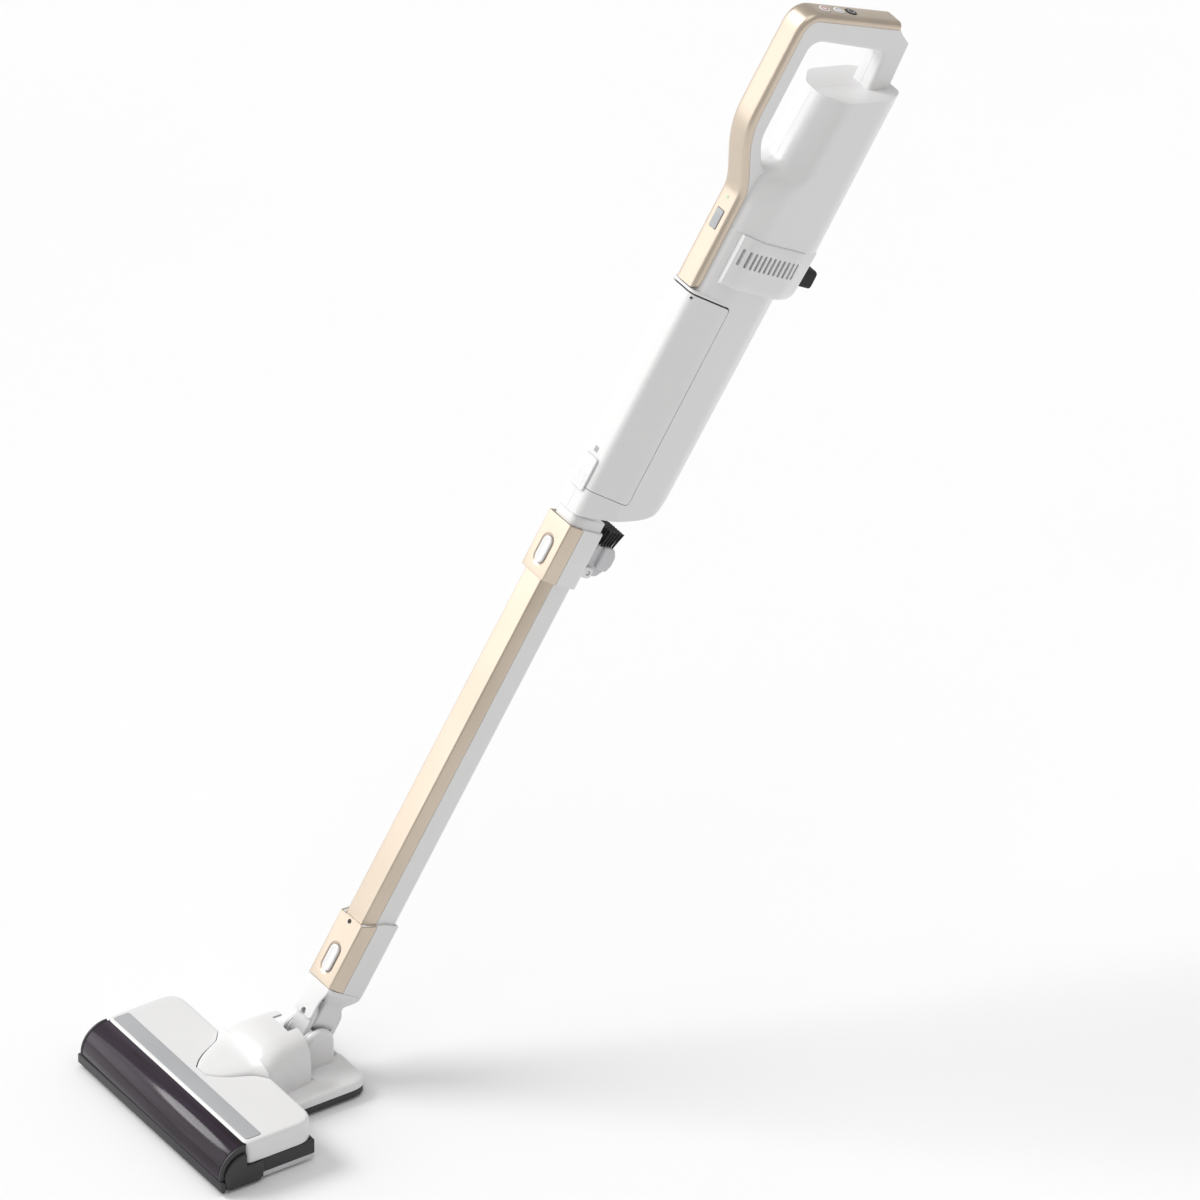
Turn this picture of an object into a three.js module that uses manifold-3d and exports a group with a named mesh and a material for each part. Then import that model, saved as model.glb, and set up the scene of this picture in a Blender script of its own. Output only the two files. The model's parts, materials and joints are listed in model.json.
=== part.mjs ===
// A cordless stick vacuum cleaner in its working pose: floor head, neck, wand and handheld body.
// Millimetres, +Z up. The floor is Z = 0, the head is wide along X and its front faces -Y.
// The origin is the point on the floor below the axis on which the neck pitches.
// Everything above that axis is drawn upright in the stick's own frame, where z runs up the stick
// and -y is its gilded front, and then leans back by one angle.
import * as THREE from "three";
import { mergeVertices } from "three/addons/utils/BufferGeometryUtils.js";
import Module from "manifold-3d";

const wasm = await Module();
wasm.setup();

// ---- Driving dimensions ----
const LEAN = THREE.MathUtils.degToRad(32.3); // the stick's lean from upright
const PIVOT_HEIGHT = 38; // the neck's pitch axis above the floor
const GAP = 0.3; // between touching pieces
const WALL = 2.2; // moulded shells

const HEAD_HALF = 115; // half the head's width
const HEAD_FRONT = -163;
const HEAD_REAR = -65; // rear of the wide part
const TAIL_HALF = 57; // half the narrow rear part's width
const TAIL_REAR = 27;
const HEAD_TOP = 44;
const COVER_FRONT = -135.5; // front edge of the white cover
const STRIP_Y = [-131.4, -116]; // the grey strip let into the cover
const SOLE = 3; // underside of the head above the floor
const COVER_EDGE = 22; // lower edge of the white cover
const WINDOW_R = 25; // half-round window over the brush
const CHAMBER = { y: -137, z: 17 }; // centre of that half round
const BRUSH = { y: -137, z: 20 }; // axis of the brush roll
const BRUSH_R = 18.5; // over the bristle tips
const BELT_MOTOR = { y: -91, z: 24 }; // axis of the brush motor
const BELT_X = [-101, -95]; // where the belt runs
const PULLEY_R = { brush: 10, motor: 5 };
const WHEEL = { y: 12, r: 7, x: [38, 48] };
const ROLLER = { y: -104, r: 6, x: [70, 78] };

const DRUM_R = 15.5; // the neck's drum
const DRUM_HALF = 14;
const CHEEK_X = [14.3, 20]; // the cover's cheeks beside the drum
const CHEEK_R = 16;
const TRUNNION_R = 5;
const EAR_ROOM_R = 38; // round the ears that carry the tilt pin
const TILT_Z = 22; // the sideways tilt pin above the pitch axis
const KNUCKLE_HALF = 10.8;
const SPIGOT_R = 15; // the round end that plugs into a collar
const SPIGOT_LENGTH = 40;

const LOWER_COLLAR = [52.6, 124]; // along the stick
const WAND_TOP = 463;
const UPPER_COLLAR = [463.3, 518];
const SOCKET_DEPTH = 42;

const BODY = { bottom: 528, backBottom: 550, vent: 768, shoulder: 817, top: 977 };
const DOOR = { bottom: 553, top: 749, rear: 17 };
const GRIP_HALF = 13.6; // half the handle's width
const TRIM = 2; // thickness of the handle's gilded strip
const TRIM_SIDE = 6.4; // how far that strip wraps round the sides
const MOTOR_Y = 28; // axis of the suction motor, behind the stick's axis

// ---- Materials ----
const paint = (color, roughness, metalness = 0) =>
  new THREE.MeshStandardMaterial({ color, roughness, metalness });
const WHITE = paint("#ececee", 0.25);
const PALE = paint("#d9d9da", 0.35);
const GREY = paint("#a9abae", 0.4);
const DARK = paint("#2b2a2c", 0.5);
const RUBBER = paint("#18181a", 0.85);
const GOLD = paint("#d9c3a3", 0.3, 0.6);
const SMOKED = new THREE.MeshStandardMaterial({
  color: "#3a2b36",
  roughness: 0.15,
  transparent: true,
  opacity: 0.8,
});
const BRISTLE = paint("#1c1b1b", 0.9);
const STEEL = paint("#b6b8bb", 0.3, 1);
const PAPER = paint("#e9e2d2", 0.95);
const CARD = paint("#c8a878", 0.95);
const FOAM = paint("#3f4347", 1);
const CELL = paint("#4f7fb0", 0.5);
const BOARD = paint("#2f6b3f", 0.6);

// ---- Solids ----
// A closed geometry as a solid that can be joined and cut.
function solidOf(geometry) {
  geometry.deleteAttribute("normal");
  geometry.deleteAttribute("uv");
  const merged = mergeVertices(geometry, 1e-4);
  return new wasm.Manifold(
    new wasm.Mesh({
      numProp: 3,
      vertProperties: new Float32Array(merged.attributes.position.array),
      triVerts: new Uint32Array(merged.index.array),
    }),
  );
}

const join = (...solids) => solids.reduce((sum, next) => sum.add(next));
const cut = (solid, ...tools) => tools.reduce((rest, tool) => rest.subtract(tool), solid);

function block([x0, x1], [y0, y1], [z0, z1]) {
  const geometry = new THREE.BoxGeometry(x1 - x0, y1 - y0, z1 - z0);
  geometry.translate((x0 + x1) / 2, (y0 + y1) / 2, (z0 + z1) / 2);
  return solidOf(geometry);
}

// A round bar along one axis, centred on the other two coordinates.
function rod(axis, [from, to], radius, [a, b] = [0, 0], sides = 20) {
  const geometry = new THREE.CylinderGeometry(radius, radius, to - from, sides);
  if (axis === "x") geometry.rotateZ(-Math.PI / 2);
  if (axis === "z") geometry.rotateX(Math.PI / 2);
  const middle = (from + to) / 2;
  const places = { x: [middle, a, b], y: [a, middle, b], z: [a, b, middle] };
  geometry.translate(...places[axis]);
  return solidOf(geometry);
}

// A body of rings at rising heights, closed at both ends. Each ring is counter-clockwise.
function loft(levels) {
  const count = levels[0].ring.length;
  const positions = levels.flatMap(({ z, ring }) => ring.flatMap((p) => [p.x, p.y, z]));
  const index = [];
  for (let level = 0; level + 1 < levels.length; level++) {
    for (let i = 0; i < count; i++) {
      const a = level * count + i;
      const b = level * count + ((i + 1) % count);
      index.push(a, b, b + count, a, b + count, a + count);
    }
  }
  const last = (levels.length - 1) * count;
  for (const [a, b, c] of THREE.ShapeUtils.triangulateShape(levels[0].ring, [])) {
    index.push(c, b, a);
  }
  for (const [a, b, c] of THREE.ShapeUtils.triangulateShape(levels.at(-1).ring, [])) {
    index.push(last + a, last + b, last + c);
  }
  const geometry = new THREE.BufferGeometry();
  geometry.setAttribute("position", new THREE.Float32BufferAttribute(positions, 3));
  geometry.setIndex(index);
  return solidOf(geometry);
}

// A loft whose rings lie in the x-z plane, at falling y.
function loftAlongY(levels) {
  const turned = levels.map(({ y, ring }) => ({ z: -y, ring }));
  return loft(turned).rotate([90, 0, 0]);
}

// A plan outline raised between two heights.
function plan(outline, [z0, z1]) {
  const geometry = new THREE.ExtrudeGeometry(new THREE.Shape(outline), {
    depth: z1 - z0,
    bevelEnabled: false,
  });
  return solidOf(geometry.translate(0, 0, z0));
}

// A side outline in the y-z plane, drawn out along x.
function side(outline, [x0, x1]) {
  const geometry = new THREE.ExtrudeGeometry(new THREE.Shape(outline), {
    depth: x1 - x0,
    bevelEnabled: false,
  });
  const [x, y, z] = [0, 1, 2].map((i) => new THREE.Vector3().setComponent(i, 1));
  geometry.applyMatrix4(new THREE.Matrix4().makeBasis(y, z, x));
  return solidOf(geometry.translate(x0, 0, 0));
}

// ---- Outlines ----
const points = (list) => list.map(([x, y]) => new THREE.Vector2(x, y));

// Corners of a convex counter-clockwise outline, moved inwards by d.
function inset(corners, d) {
  const edge = (from, to) => to.clone().sub(from).normalize();
  const inwards = (e) => new THREE.Vector2(-e.y, e.x);
  return corners.map((corner, i) => {
    const before = inwards(edge(corners.at(i - 1), corner));
    const after = inwards(edge(corner, corners[(i + 1) % corners.length]));
    const move = before.clone().add(after).multiplyScalar(d / (1 + before.dot(after)));
    return corner.clone().add(move);
  });
}

// The same outline with each corner drawn as a short curve.
function rounded(corners, radius, steps = 2) {
  return corners.flatMap((corner, i) => {
    const before = corners.at(i - 1);
    const after = corners[(i + 1) % corners.length];
    const near = (other) => {
      const length = corner.distanceTo(other);
      return corner.clone().lerp(other, Math.min(radius, length * 0.45) / length);
    };
    return new THREE.QuadraticBezierCurve(near(before), corner, near(after)).getPoints(steps);
  });
}

const rectangle = (half, y0, y1) =>
  points([[-half, y0], [half, y0], [half, y1], [-half, y1]]);

// Points on an arc in the y-z plane, angles in degrees from +y towards +z.
function arc({ y, z }, radius, from, to, steps) {
  return Array.from({ length: steps + 1 }, (_, i) => {
    const angle = THREE.MathUtils.degToRad(from + ((to - from) * i) / steps);
    return new THREE.Vector2(y + radius * Math.cos(angle), z + radius * Math.sin(angle));
  });
}

// The six-sided section of wand and collars: flat front, two slanted facets, square back.
const faceted = ({ front, facet, half, depth }) =>
  points([
    [-front, -depth], [front, -depth], [half, -facet],
    [half, depth], [-half, depth], [-half, -facet],
  ]);
const WAND_SECTION = faceted({ front: 12, facet: 6, half: 17, depth: 17 });
const COLLAR_SECTION = faceted({ front: 16.5, facet: 6, half: 19.8, depth: 19.8 });
const FACING = 1.4; // thickness of the gilded facings

// The eight-sided section of the handheld body.
const octagon = ({ front, frontHalf, slant, half, corner, back, backHalf }) =>
  points([
    [-frontHalf, front], [frontHalf, front], [half, slant], [half, corner],
    [backHalf, back], [-backHalf, back], [-half, corner], [-half, slant],
  ]);

// ---- The exported group ----
const vacuum = new THREE.Group();
const stick = new THREE.Group();
stick.position.z = PIVOT_HEIGHT;
stick.rotation.x = -LEAN;
vacuum.add(stick);

function add(group, name, solid, material) {
  const { vertProperties, triVerts } = solid.getMesh();
  const geometry = new THREE.BufferGeometry();
  geometry.setAttribute("position", new THREE.BufferAttribute(vertProperties, 3));
  geometry.setIndex(new THREE.BufferAttribute(triVerts, 1));
  geometry.computeVertexNormals();
  const mesh = new THREE.Mesh(geometry, material);
  mesh.name = name;
  group.add(mesh);
}

// Does the same for the left (-x) and the right (+x) side.
const bothSides = (make) => [["left", -1], ["right", 1]].forEach(([word, sign]) => make(word, sign));
const across = ([a, b], sign) => (sign > 0 ? [a, b] : [-b, -a]);

// ---- Floor head: shells ----
const tailOutline = (d = 0) =>
  rounded(inset(rectangle(TAIL_HALF, HEAD_REAR + 0.5, TAIL_REAR), d), 16, 4);
const coverOutline = (d) =>
  rounded(points([
    [-112.5 + d, COVER_FRONT + 0.3 * d], [112.5 - d, COVER_FRONT + 0.3 * d],
    [112.5 - d, HEAD_REAR - d], [-112.5 + d, HEAD_REAR - d],
  ]), 9, 3);

// The raised duct over the neck, as boxy arches that shrink towards its nose on the cover.
const DOME = [
  { y: -19, half: 36, top: 62 },
  { y: -46, half: 38, top: 62 },
  { y: -66, half: 41, top: 54 },
  { y: -76, half: 30, top: 50 },
  { y: -94, half: 22, top: 47.5 },
  { y: -110, half: 9, top: 44.8 },
];
const boxy = (v) => Math.sign(v) * Math.abs(v) ** 0.6;
function dome(levels, base, shoulder, thinner = 0) {
  return loftAlongY(levels.map(({ y, half, top }) => {
    const a = half - thinner;
    const crown = Array.from({ length: 13 }, (_, i) => {
      const angle = (Math.PI * i) / 12;
      return [a * boxy(Math.cos(angle)), shoulder + (top - thinner - shoulder) * boxy(Math.sin(angle))];
    });
    return { y, ring: points([[-a, base], [a, base], ...crown]) };
  }));
}

const WINDOW_TOP = CHAMBER.z + WINDOW_R;
function headShells() {
  const cover = loft([
    { z: COVER_EDGE, ring: coverOutline(0) },
    { z: 37, ring: coverOutline(0) },
    { z: 41.5, ring: coverOutline(1.2) },
    { z: HEAD_TOP, ring: coverOutline(4) },
  ]);
  const underCover = loft([
    { z: COVER_EDGE - 1, ring: coverOutline(WALL) },
    { z: 38, ring: coverOutline(WALL + 1) },
    { z: HEAD_TOP - WALL, ring: coverOutline(WALL + 4) },
  ]);
  const frontOpening = block([-109.9, 109.9], [-140, -117.5], [COVER_EDGE - 1, WINDOW_TOP + GAP]);
  const ductNotch = dome(
    DOME.slice(2).map((s) => ({ ...s, y: s.y - GAP, half: s.half + GAP, top: 80 })), 10, 60);
  const ductFoot = block([-42, 42], [-66.5, -60], [10, 60]);
  const stripSeat = block([-107.3, 107.3], [STRIP_Y[0] - GAP, STRIP_Y[1] + GAP], [43.4, 50]);
  add(vacuum, "head_cover",
    cut(cover, underCover, frontOpening, ductNotch, ductFoot, stripSeat), WHITE);
  add(vacuum, "trim_strip", block([-107, 107], STRIP_Y, [43.7, HEAD_TOP + 0.4]), GREY);

  const tail = loft([
    { z: 9.8, ring: tailOutline() },
    { z: 14, ring: tailOutline() },
    { z: 17.5, ring: tailOutline(4) },
  ]);
  const underTail = loft([
    { z: 9, ring: tailOutline(WALL) },
    { z: 15, ring: tailOutline(WALL + 1.5) },
  ]);
  const pivot = [0, PIVOT_HEIGHT];
  const cheeks = join(...[1, -1].map((sign) => {
    const x = across(CHEEK_X, sign);
    return join(rod("x", x, CHEEK_R, pivot, 28), block(x, [-24, CHEEK_R - 3], [14, PIVOT_HEIGHT]));
  }));
  const shell = join(
    cut(tail, underTail),
    cut(dome(DOME.slice(0, 3), 12, 30), dome(
      DOME.slice(0, 3).map((s, i) => ({ ...s, y: s.y + [3, 0, -3][i] })), 9, 29, WALL)),
    cut(dome(DOME.slice(2), 39, 41), dome(
      DOME.slice(2).map((s, i) => ({ ...s, y: s.y + [3, 0, 0, WALL][i] })), 38, 40, WALL)),
    cheeks,
  );
  const drumRoom = rod("x", [-DRUM_HALF - GAP, DRUM_HALF + GAP], DRUM_R + 0.8, pivot, 28);
  const earRoom = rod("x", [-12.5, 12.5], EAR_ROOM_R, pivot, 28);
  const trunnionRoom = rod("x", [-40, 40], TRUNNION_R + 0.4, pivot);
  const above = block([-DRUM_HALF - GAP, DRUM_HALF + GAP], [-19, 40], [17.5, 90]);
  add(vacuum, "duct_cover", cut(shell, drumRoom, earRoom, trunnionRoom, above), WHITE);

  const bumper = rounded(points([
    [HEAD_FRONT, SOLE + 2], [HEAD_FRONT + 2, SOLE], [-158, SOLE],
    [-158, 11], [-159.5, 14], [HEAD_FRONT, 14],
  ]), 0.8, 2);
  add(vacuum, "front_bumper", side(bumper, [-HEAD_HALF, HEAD_HALF]), DARK);

  const windowArc = [
    new THREE.Vector2(-162, 14.3),
    ...arc(CHAMBER, WINDOW_R, 180, 84, 12),
    ...arc(CHAMBER, WINDOW_R - 1.8, 84, 180, 12),
    new THREE.Vector2(-160.2, 14.3),
  ];
  add(vacuum, "brush_window", side(windowArc.reverse(), [-109.5, 109.5]), SMOKED);

  bothSides((word, sign) => {
    const flange = rod("x", across([109.8, 112], sign), WINDOW_R + 0.4, [CHAMBER.y, CHAMBER.z], 32);
    const boss = rod("x", across([111.8, HEAD_HALF], sign), 20, [-138, 14], 32);
    const below = block([-120, 120], [-170, -100], [-20, SOLE + 0.3]);
    const bumperRoom = block([-120, 120], [-170, -157.7], [-20, 14.3]);
    const coverRoom = block([-120, 120], [-118.3, -100], [-20, 60]);
    const cap = cut(join(flange, boss), below, bumperRoom, coverRoom,
      block([-120, 120], [COVER_FRONT - GAP, -100], [COVER_EDGE - GAP, 60]));
    add(vacuum, `end_cap_${word}`, cap, DARK);
  });
}

// ---- Floor head: chassis and sole ----
const brushSlot = block([-101, 101], [-156, -119.5], [-10, SOLE + 6]);

function headChassis() {
  const endPlate = [
    new THREE.Vector2(-118, 8),
    new THREE.Vector2(-118, 28),
    ...arc(CHAMBER, 22.4, 40, 180, 10),
    new THREE.Vector2(-157, 8),
  ];
  const wheelWell = (sign) => block(across([36.7, 49.3], sign), [0.5, 24], [-5, 30]);
  const rollerWell = (sign) => block(across([68.5, 79.5], sign), [-112, -96], [-5, 14]);
  const rollerSeat = (sign) => rod("x", across([66.5, 81.5], sign), 2.3, [ROLLER.y, ROLLER.r], 12);
  let chassis = join(
    block([-112.3, 112.3], [-117.8, -66], [8, 10.2]),
    block([-112.3, -109.8], [-117.8, -65.5], [8, 21.7]),
    block([109.8, 112.3], [-117.8, -65.5], [8, 21.7]),
    block([-112.3, 112.3], [-68, -65.5], [8, 21.7]),
    block([-106, 106], [-118, -115.5], [8, 38]),
    side(endPlate, [104.5, 109]),
    side(endPlate, [-109, -104.5]),
    plan(tailOutline(0.5), [SOLE, 9.5]),
    block([-50, 50], [-72, -60], [SOLE + 5.5, 9.5]),
    block([-90, -46], [-102, -80], [10, 13]),
  );
  bothSides((_, sign) => {
    chassis = join(
      chassis,
      block(across([66.5, 81.5], sign), [-113, -95], [9, 14]),
    );
    chassis = cut(chassis, wheelWell(sign), rollerWell(sign));
  });
  chassis = cut(
    chassis,
    rod("x", [-55, 55], 2.1, [WHEEL.y, WHEEL.r], 16),
    rollerSeat(1),
    rollerSeat(-1),
    rod("x", [-115, 115], 7.3, [BRUSH.y, BRUSH.z]),
    block([BELT_X[0] - 1, BELT_X[1] + 1], [-120, -113], [10.2, 34]),
    block([-28, 28], [-120, -113], [14, 34]),
    block([-46, 46], [-69, -64], [10.5, 22]),
    rod("x", [-104, -44], 13.3, [BELT_MOTOR.y, BELT_MOTOR.z]),
  );
  add(vacuum, "head_chassis", chassis, DARK);

  const sole = cut(
    join(
      block([-109.5, 109.5], [-157.6, -66], [SOLE, 7.7]),
      block([-112.5, 112.5], [-117.8, -66], [SOLE, 7.7]),
    ),
    brushSlot, rollerWell(1), rollerWell(-1), rollerSeat(1), rollerSeat(-1),
  );
  add(vacuum, "sole_plate", sole, PALE);

  add(vacuum, "rear_axle", rod("x", [-53, 53], 1.8, [WHEEL.y, WHEEL.r], 16), STEEL);
  bothSides((word, sign) => {
    const wheel = rod("x", across(WHEEL.x, sign), WHEEL.r, [WHEEL.y, WHEEL.r], 24);
    const bore = rod("x", [-60, 60], 2.1, [WHEEL.y, WHEEL.r], 16);
    add(vacuum, `rear_wheel_${word}`, cut(wheel, bore), GREY);
    const axis = [ROLLER.y, ROLLER.r];
    const roller = join(
      rod("x", across(ROLLER.x, sign), ROLLER.r, axis, 20),
      rod("x", across([ROLLER.x[0] - 2.8, ROLLER.x[1] + 2.8], sign), 2, axis, 10),
    );
    add(vacuum, `front_roller_${word}`, roller, GREY);
  });
}

// ---- Floor head: brush drive ----
function brushDrive() {
  const axis = [BRUSH.y, BRUSH.z];
  const core = join(
    rod("x", [-93, 101], 7.5, axis, 20),
    rod("x", [-109, 109], 3, axis, 16),
  );
  add(vacuum, "brush_core", core, GREY);

  // Two rows of bristles on a sleeve, wound half a turn along the roll.
  const rows = 2;
  const slices = 16;
  const sleeve = 9;
  const fin = 14; // degrees each row takes
  const section = (turn) => {
    const ring = [];
    for (let row = 0; row < rows; row++) {
      const start = turn + (360 / rows) * row;
      ring.push(...arc({ y: 0, z: 0 }, BRUSH_R, start, start + fin, 1));
      ring.push(...arc({ y: 0, z: 0 }, sleeve, start + fin + 6, start + 360 / rows - 6, 5));
    }
    return ring;
  };
  const levels = Array.from({ length: slices + 1 }, (_, i) => ({
    z: -92 + (192 * i) / slices,
    ring: section((180 * i) / slices),
  }));
  const bristles = cut(loft(levels), rod("z", [-100, 110], 7.8, [0, 0], 20));
  add(vacuum, "brush_bristles", bristles.rotate([0, 90, 0]).translate([0, ...axis]), BRISTLE);

  const wheelOf = (radius, centre, x, bore) =>
    cut(rod("x", x, radius, centre, 20), rod("x", [x[0] - 1, x[1] + 1], bore, centre, 12));
  add(vacuum, "brush_pulley", wheelOf(PULLEY_R.brush, axis, BELT_X, 3.3), PALE);
  bothSides((word, sign) => {
    add(vacuum, `brush_bearing_${word}`, wheelOf(7, axis, across([104.7, 108.8], sign), 3.3), STEEL);
  });

  const motorAxis = [BELT_MOTOR.y, BELT_MOTOR.z];
  const motor = join(
    rod("x", [-90, -46], 13, motorAxis, 24),
    rod("x", [-93, -89], 5, motorAxis, 16),
  );
  add(vacuum, "brush_motor", motor, STEEL);
  const pinion = join(
    rod("x", BELT_X, PULLEY_R.motor, motorAxis, 20),
    rod("x", [BELT_X[1] - 0.5, -93.3], 2, motorAxis, 12),
  );
  add(vacuum, "motor_pulley", pinion, PALE);

  // The belt is the band between two rounded loops about both pulleys.
  const loop = (grow) => {
    const rise = Math.atan2(BELT_MOTOR.z - BRUSH.z, BELT_MOTOR.y - BRUSH.y);
    const spread = Math.hypot(BELT_MOTOR.z - BRUSH.z, BELT_MOTOR.y - BRUSH.y);
    const wrap = Math.acos((PULLEY_R.brush - PULLEY_R.motor) / spread);
    const [turn, half] = [rise, wrap].map(THREE.MathUtils.radToDeg);
    return [
      ...arc(BRUSH, PULLEY_R.brush + grow, turn + half, turn + 360 - half, 12),
      ...arc(BELT_MOTOR, PULLEY_R.motor + grow, turn - half, turn + half, 8),
    ];
  };
  const [x0, x1] = BELT_X;
  const belt = cut(side(loop(1.7), [x0 + 0.5, x1 - 0.5]), side(loop(GAP), [x0 - 1, x1 + 1]));
  add(vacuum, "drive_belt", belt, RUBBER);
}

// ---- Neck ----
function neck() {
  const ear = (from, to) =>
    join(block([-10.5, 10.5], [from, to], [0, TILT_Z]), rod("y", [from, to], 10.5, [0, TILT_Z]));
  const drum = cut(
    join(
      rod("x", [-DRUM_HALF, DRUM_HALF], DRUM_R, [0, 0], 28),
      rod("x", [-CHEEK_X[1], CHEEK_X[1]], TRUNNION_R, [0, 0]),
    ),
    block([-40, 40], [-11.2, 11.2], [8, 40]),
  );
  const withEars = join(drum, ear(-16.5, -11.2), ear(11.2, 16.5));
  add(stick, "neck_drum",
    cut(withEars, rod("y", [-30, 30], 3.3, [0, TILT_Z], 16), rod("z", [-30, 10], 9)), WHITE);

  const pin = join(
    rod("y", [-17, 18.5], 3, [0, TILT_Z], 16),
    rod("y", [-18.5, -16.8], 5, [0, TILT_Z], 20),
  );
  add(stick, "neck_tilt_pin", pin, STEEL);

  const narrow = rectangle(13, -KNUCKLE_HALF, KNUCKLE_HALF);
  const pipe = join(
    rod("y", [-KNUCKLE_HALF, KNUCKLE_HALF], 12, [0, TILT_Z]),
    block([-12, 12], [-KNUCKLE_HALF, KNUCKLE_HALF], [TILT_Z, 44]),
    loft([
      { z: 34, ring: rounded(inset(narrow, 1), 3) },
      { z: 45, ring: rounded(narrow, 3) },
      { z: 50.5, ring: rounded(rectangle(19.5, -19.5, 19.5), 5) },
      { z: 52.3, ring: rounded(rectangle(19.5, -19.5, 19.5), 5) },
    ]),
    rod("z", [52, 52.6 + SPIGOT_LENGTH], SPIGOT_R),
  );
  add(stick, "neck_pipe", cut(
    pipe,
    rod("y", [-30, 30], 3.3, [0, TILT_Z], 16),
    rod("z", [0, 41], 8),
    rod("z", [40, 100], 12.4),
  ), WHITE);
}

// ---- Wand and collars ----
// A facing covers the front and both facets of a section, to the facets' rear edge.
const behindFacets = (y) => block([-40, 40], [y, 60], [-10, 1200]);
function facing(section, [z0, z1]) {
  const whole = plan(section, [z0, z1]);
  return cut(whole, plan(inset(section, FACING), [z0 - 1, z1 + 1]), behindFacets(-6));
}
function core(section, radius, [z0, z1]) {
  const outside = plan(rounded(section, radius), [z0, z1]);
  const underFacing = plan(inset(section, FACING + GAP), [z0, z1]);
  return join(underFacing, outside.intersect(behindFacets(-5.7)));
}

const BUTTON = { half: 8, height: 29, low: 8.4, travel: 2 }; // the release button, up from the collar's foot
const LATCH = { low: 18, high: 24 };

function collar(name, [z0, z1], fixings) {
  const buttonZ = [z0 + BUTTON.low, z0 + BUTTON.low + BUTTON.height];
  const window = (grow) => {
    const [low, high] = [buttonZ[0] - grow, buttonZ[1] + grow];
    const r = BUTTON.half + grow;
    return join(
      block([-r, r], [-30, -10], [low + r, high - r]),
      rod("y", [-30, -10], r, [0, low + r]),
      rod("y", [-30, -10], r, [0, high - r]),
    );
  };
  const latchZ = [z0 + LATCH.low, z0 + LATCH.high];
  const latchRoom = block([-18, 18], [-18.3, 18.7], [latchZ[0] - 0.4, latchZ[1] + 0.4]);
  const shell = cut(
    join(core(COLLAR_SECTION, 6, [z0, z1]), ...fixings),
    rod("z", [z0 - 1, z0 + SOCKET_DEPTH], SPIGOT_R + 0.5),
    rod("z", [z0, z1 + 1], 12.8),
    plan(inset(WAND_SECTION, -GAP), [z0 + SOCKET_DEPTH + 2.5, z1 + 1]),
    window(0.5),
    latchRoom,
  );
  add(stick, `${name}_collar`, shell, WHITE);
  add(stick, `${name}_collar_facing`, cut(facing(COLLAR_SECTION, [z0, z1]), window(0.5)), GOLD);

  const face = block([-20, 20], [-21, -18.7], [z0, z1]);
  add(stick, `${name}_button`, window(0).intersect(face), WHITE);

  // The latch is a flat ring round the spigot that slides with the button.
  const ring = cut(
    plan(inset(COLLAR_SECTION, FACING + GAP + 0.05), latchZ),
    block([-30, 30], [16.5, 30], [z0, z1]),
    block([17.6, 30], [-30, 30], [z0, z1]),
    block([-30, -17.6], [-30, 30], [z0, z1]),
    rod("z", [z0, z1], SPIGOT_R + 0.3, [0, 0], 28),
    rod("z", [z0, z1], SPIGOT_R + 0.3, [0, -BUTTON.travel], 28),
  );
  add(stick, `${name}_latch`, ring, DARK);
}

function wand() {
  const tube = join(
    core(WAND_SECTION, 6, [LOWER_COLLAR[0] + 45, WAND_TOP]),
    rod("z", [WAND_TOP - 1, WAND_TOP + SPIGOT_LENGTH], SPIGOT_R),
  );
  const inside = plan(inset(WAND_SECTION, FACING + GAP + 1.6), [0, WAND_TOP - 4]);
  add(stick, "wand_tube", cut(tube, rod("z", [0, 600], 12.6), inside), WHITE);
  add(stick, "wand_facing", facing(WAND_SECTION, [LOWER_COLLAR[1] + GAP, WAND_TOP]), GOLD);
}

// ---- Brush tool behind the upper collar ----
const TOOL_PIN = { y: 24.5, z: UPPER_COLLAR[0] + 17 };
function brushTool() {
  const profile = points([
    [23, 477], [38, 477], [46, 486], [46, 500], [40, 506.5], [24, 506.5], [21.5, 497], [21.5, 479],
  ]);
  const pinHole = rod("x", [-30, 30], 2.3, [TOOL_PIN.y, TOOL_PIN.z], 16);
  add(stick, "brush_holder", cut(side(profile, [-13.5, 13.5]), pinHole), PALE);
  const tufts = points([[25, 506.8], [42, 506.8], [48, 520], [30, 523]]);
  add(stick, "tool_bristles", side(tufts, [-12.5, 12.5]), BRISTLE);
  add(stick, "tool_pin", rod("x", [-17.2, 17.2], 2, [TOOL_PIN.y, TOOL_PIN.z], 16), STEEL);
}
function toolEars() {
  const ears = [-1, 1].map((sign) =>
    join(
      rod("x", across([14, 17.5], sign), 5, [TOOL_PIN.y, TOOL_PIN.z], 16),
      block(across([14, 17.5], sign), [19, TOOL_PIN.y], [TOOL_PIN.z - 5, TOOL_PIN.z + 5]),
    ));
  return ears.map((ear) => cut(ear, rod("x", [-30, 30], 2.3, [TOOL_PIN.y, TOOL_PIN.z], 16)));
}

// ---- Handheld body: outlines ----
const dustSection = (back) =>
  octagon({ front: -18.8, frontHalf: 15, slant: 12, half: 30, corner: 52, back, backHalf: 19 });
const upperSection = (front, frontHalf, back, slant = 14) =>
  octagon({ front, frontHalf, slant, half: 33, corner: 70, back, backHalf: 21 });
const ventSection = (half, back) =>
  octagon({ front: -15, frontHalf: 17, slant: 6, half, corner: 60, back, backHalf: 21 });

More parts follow.
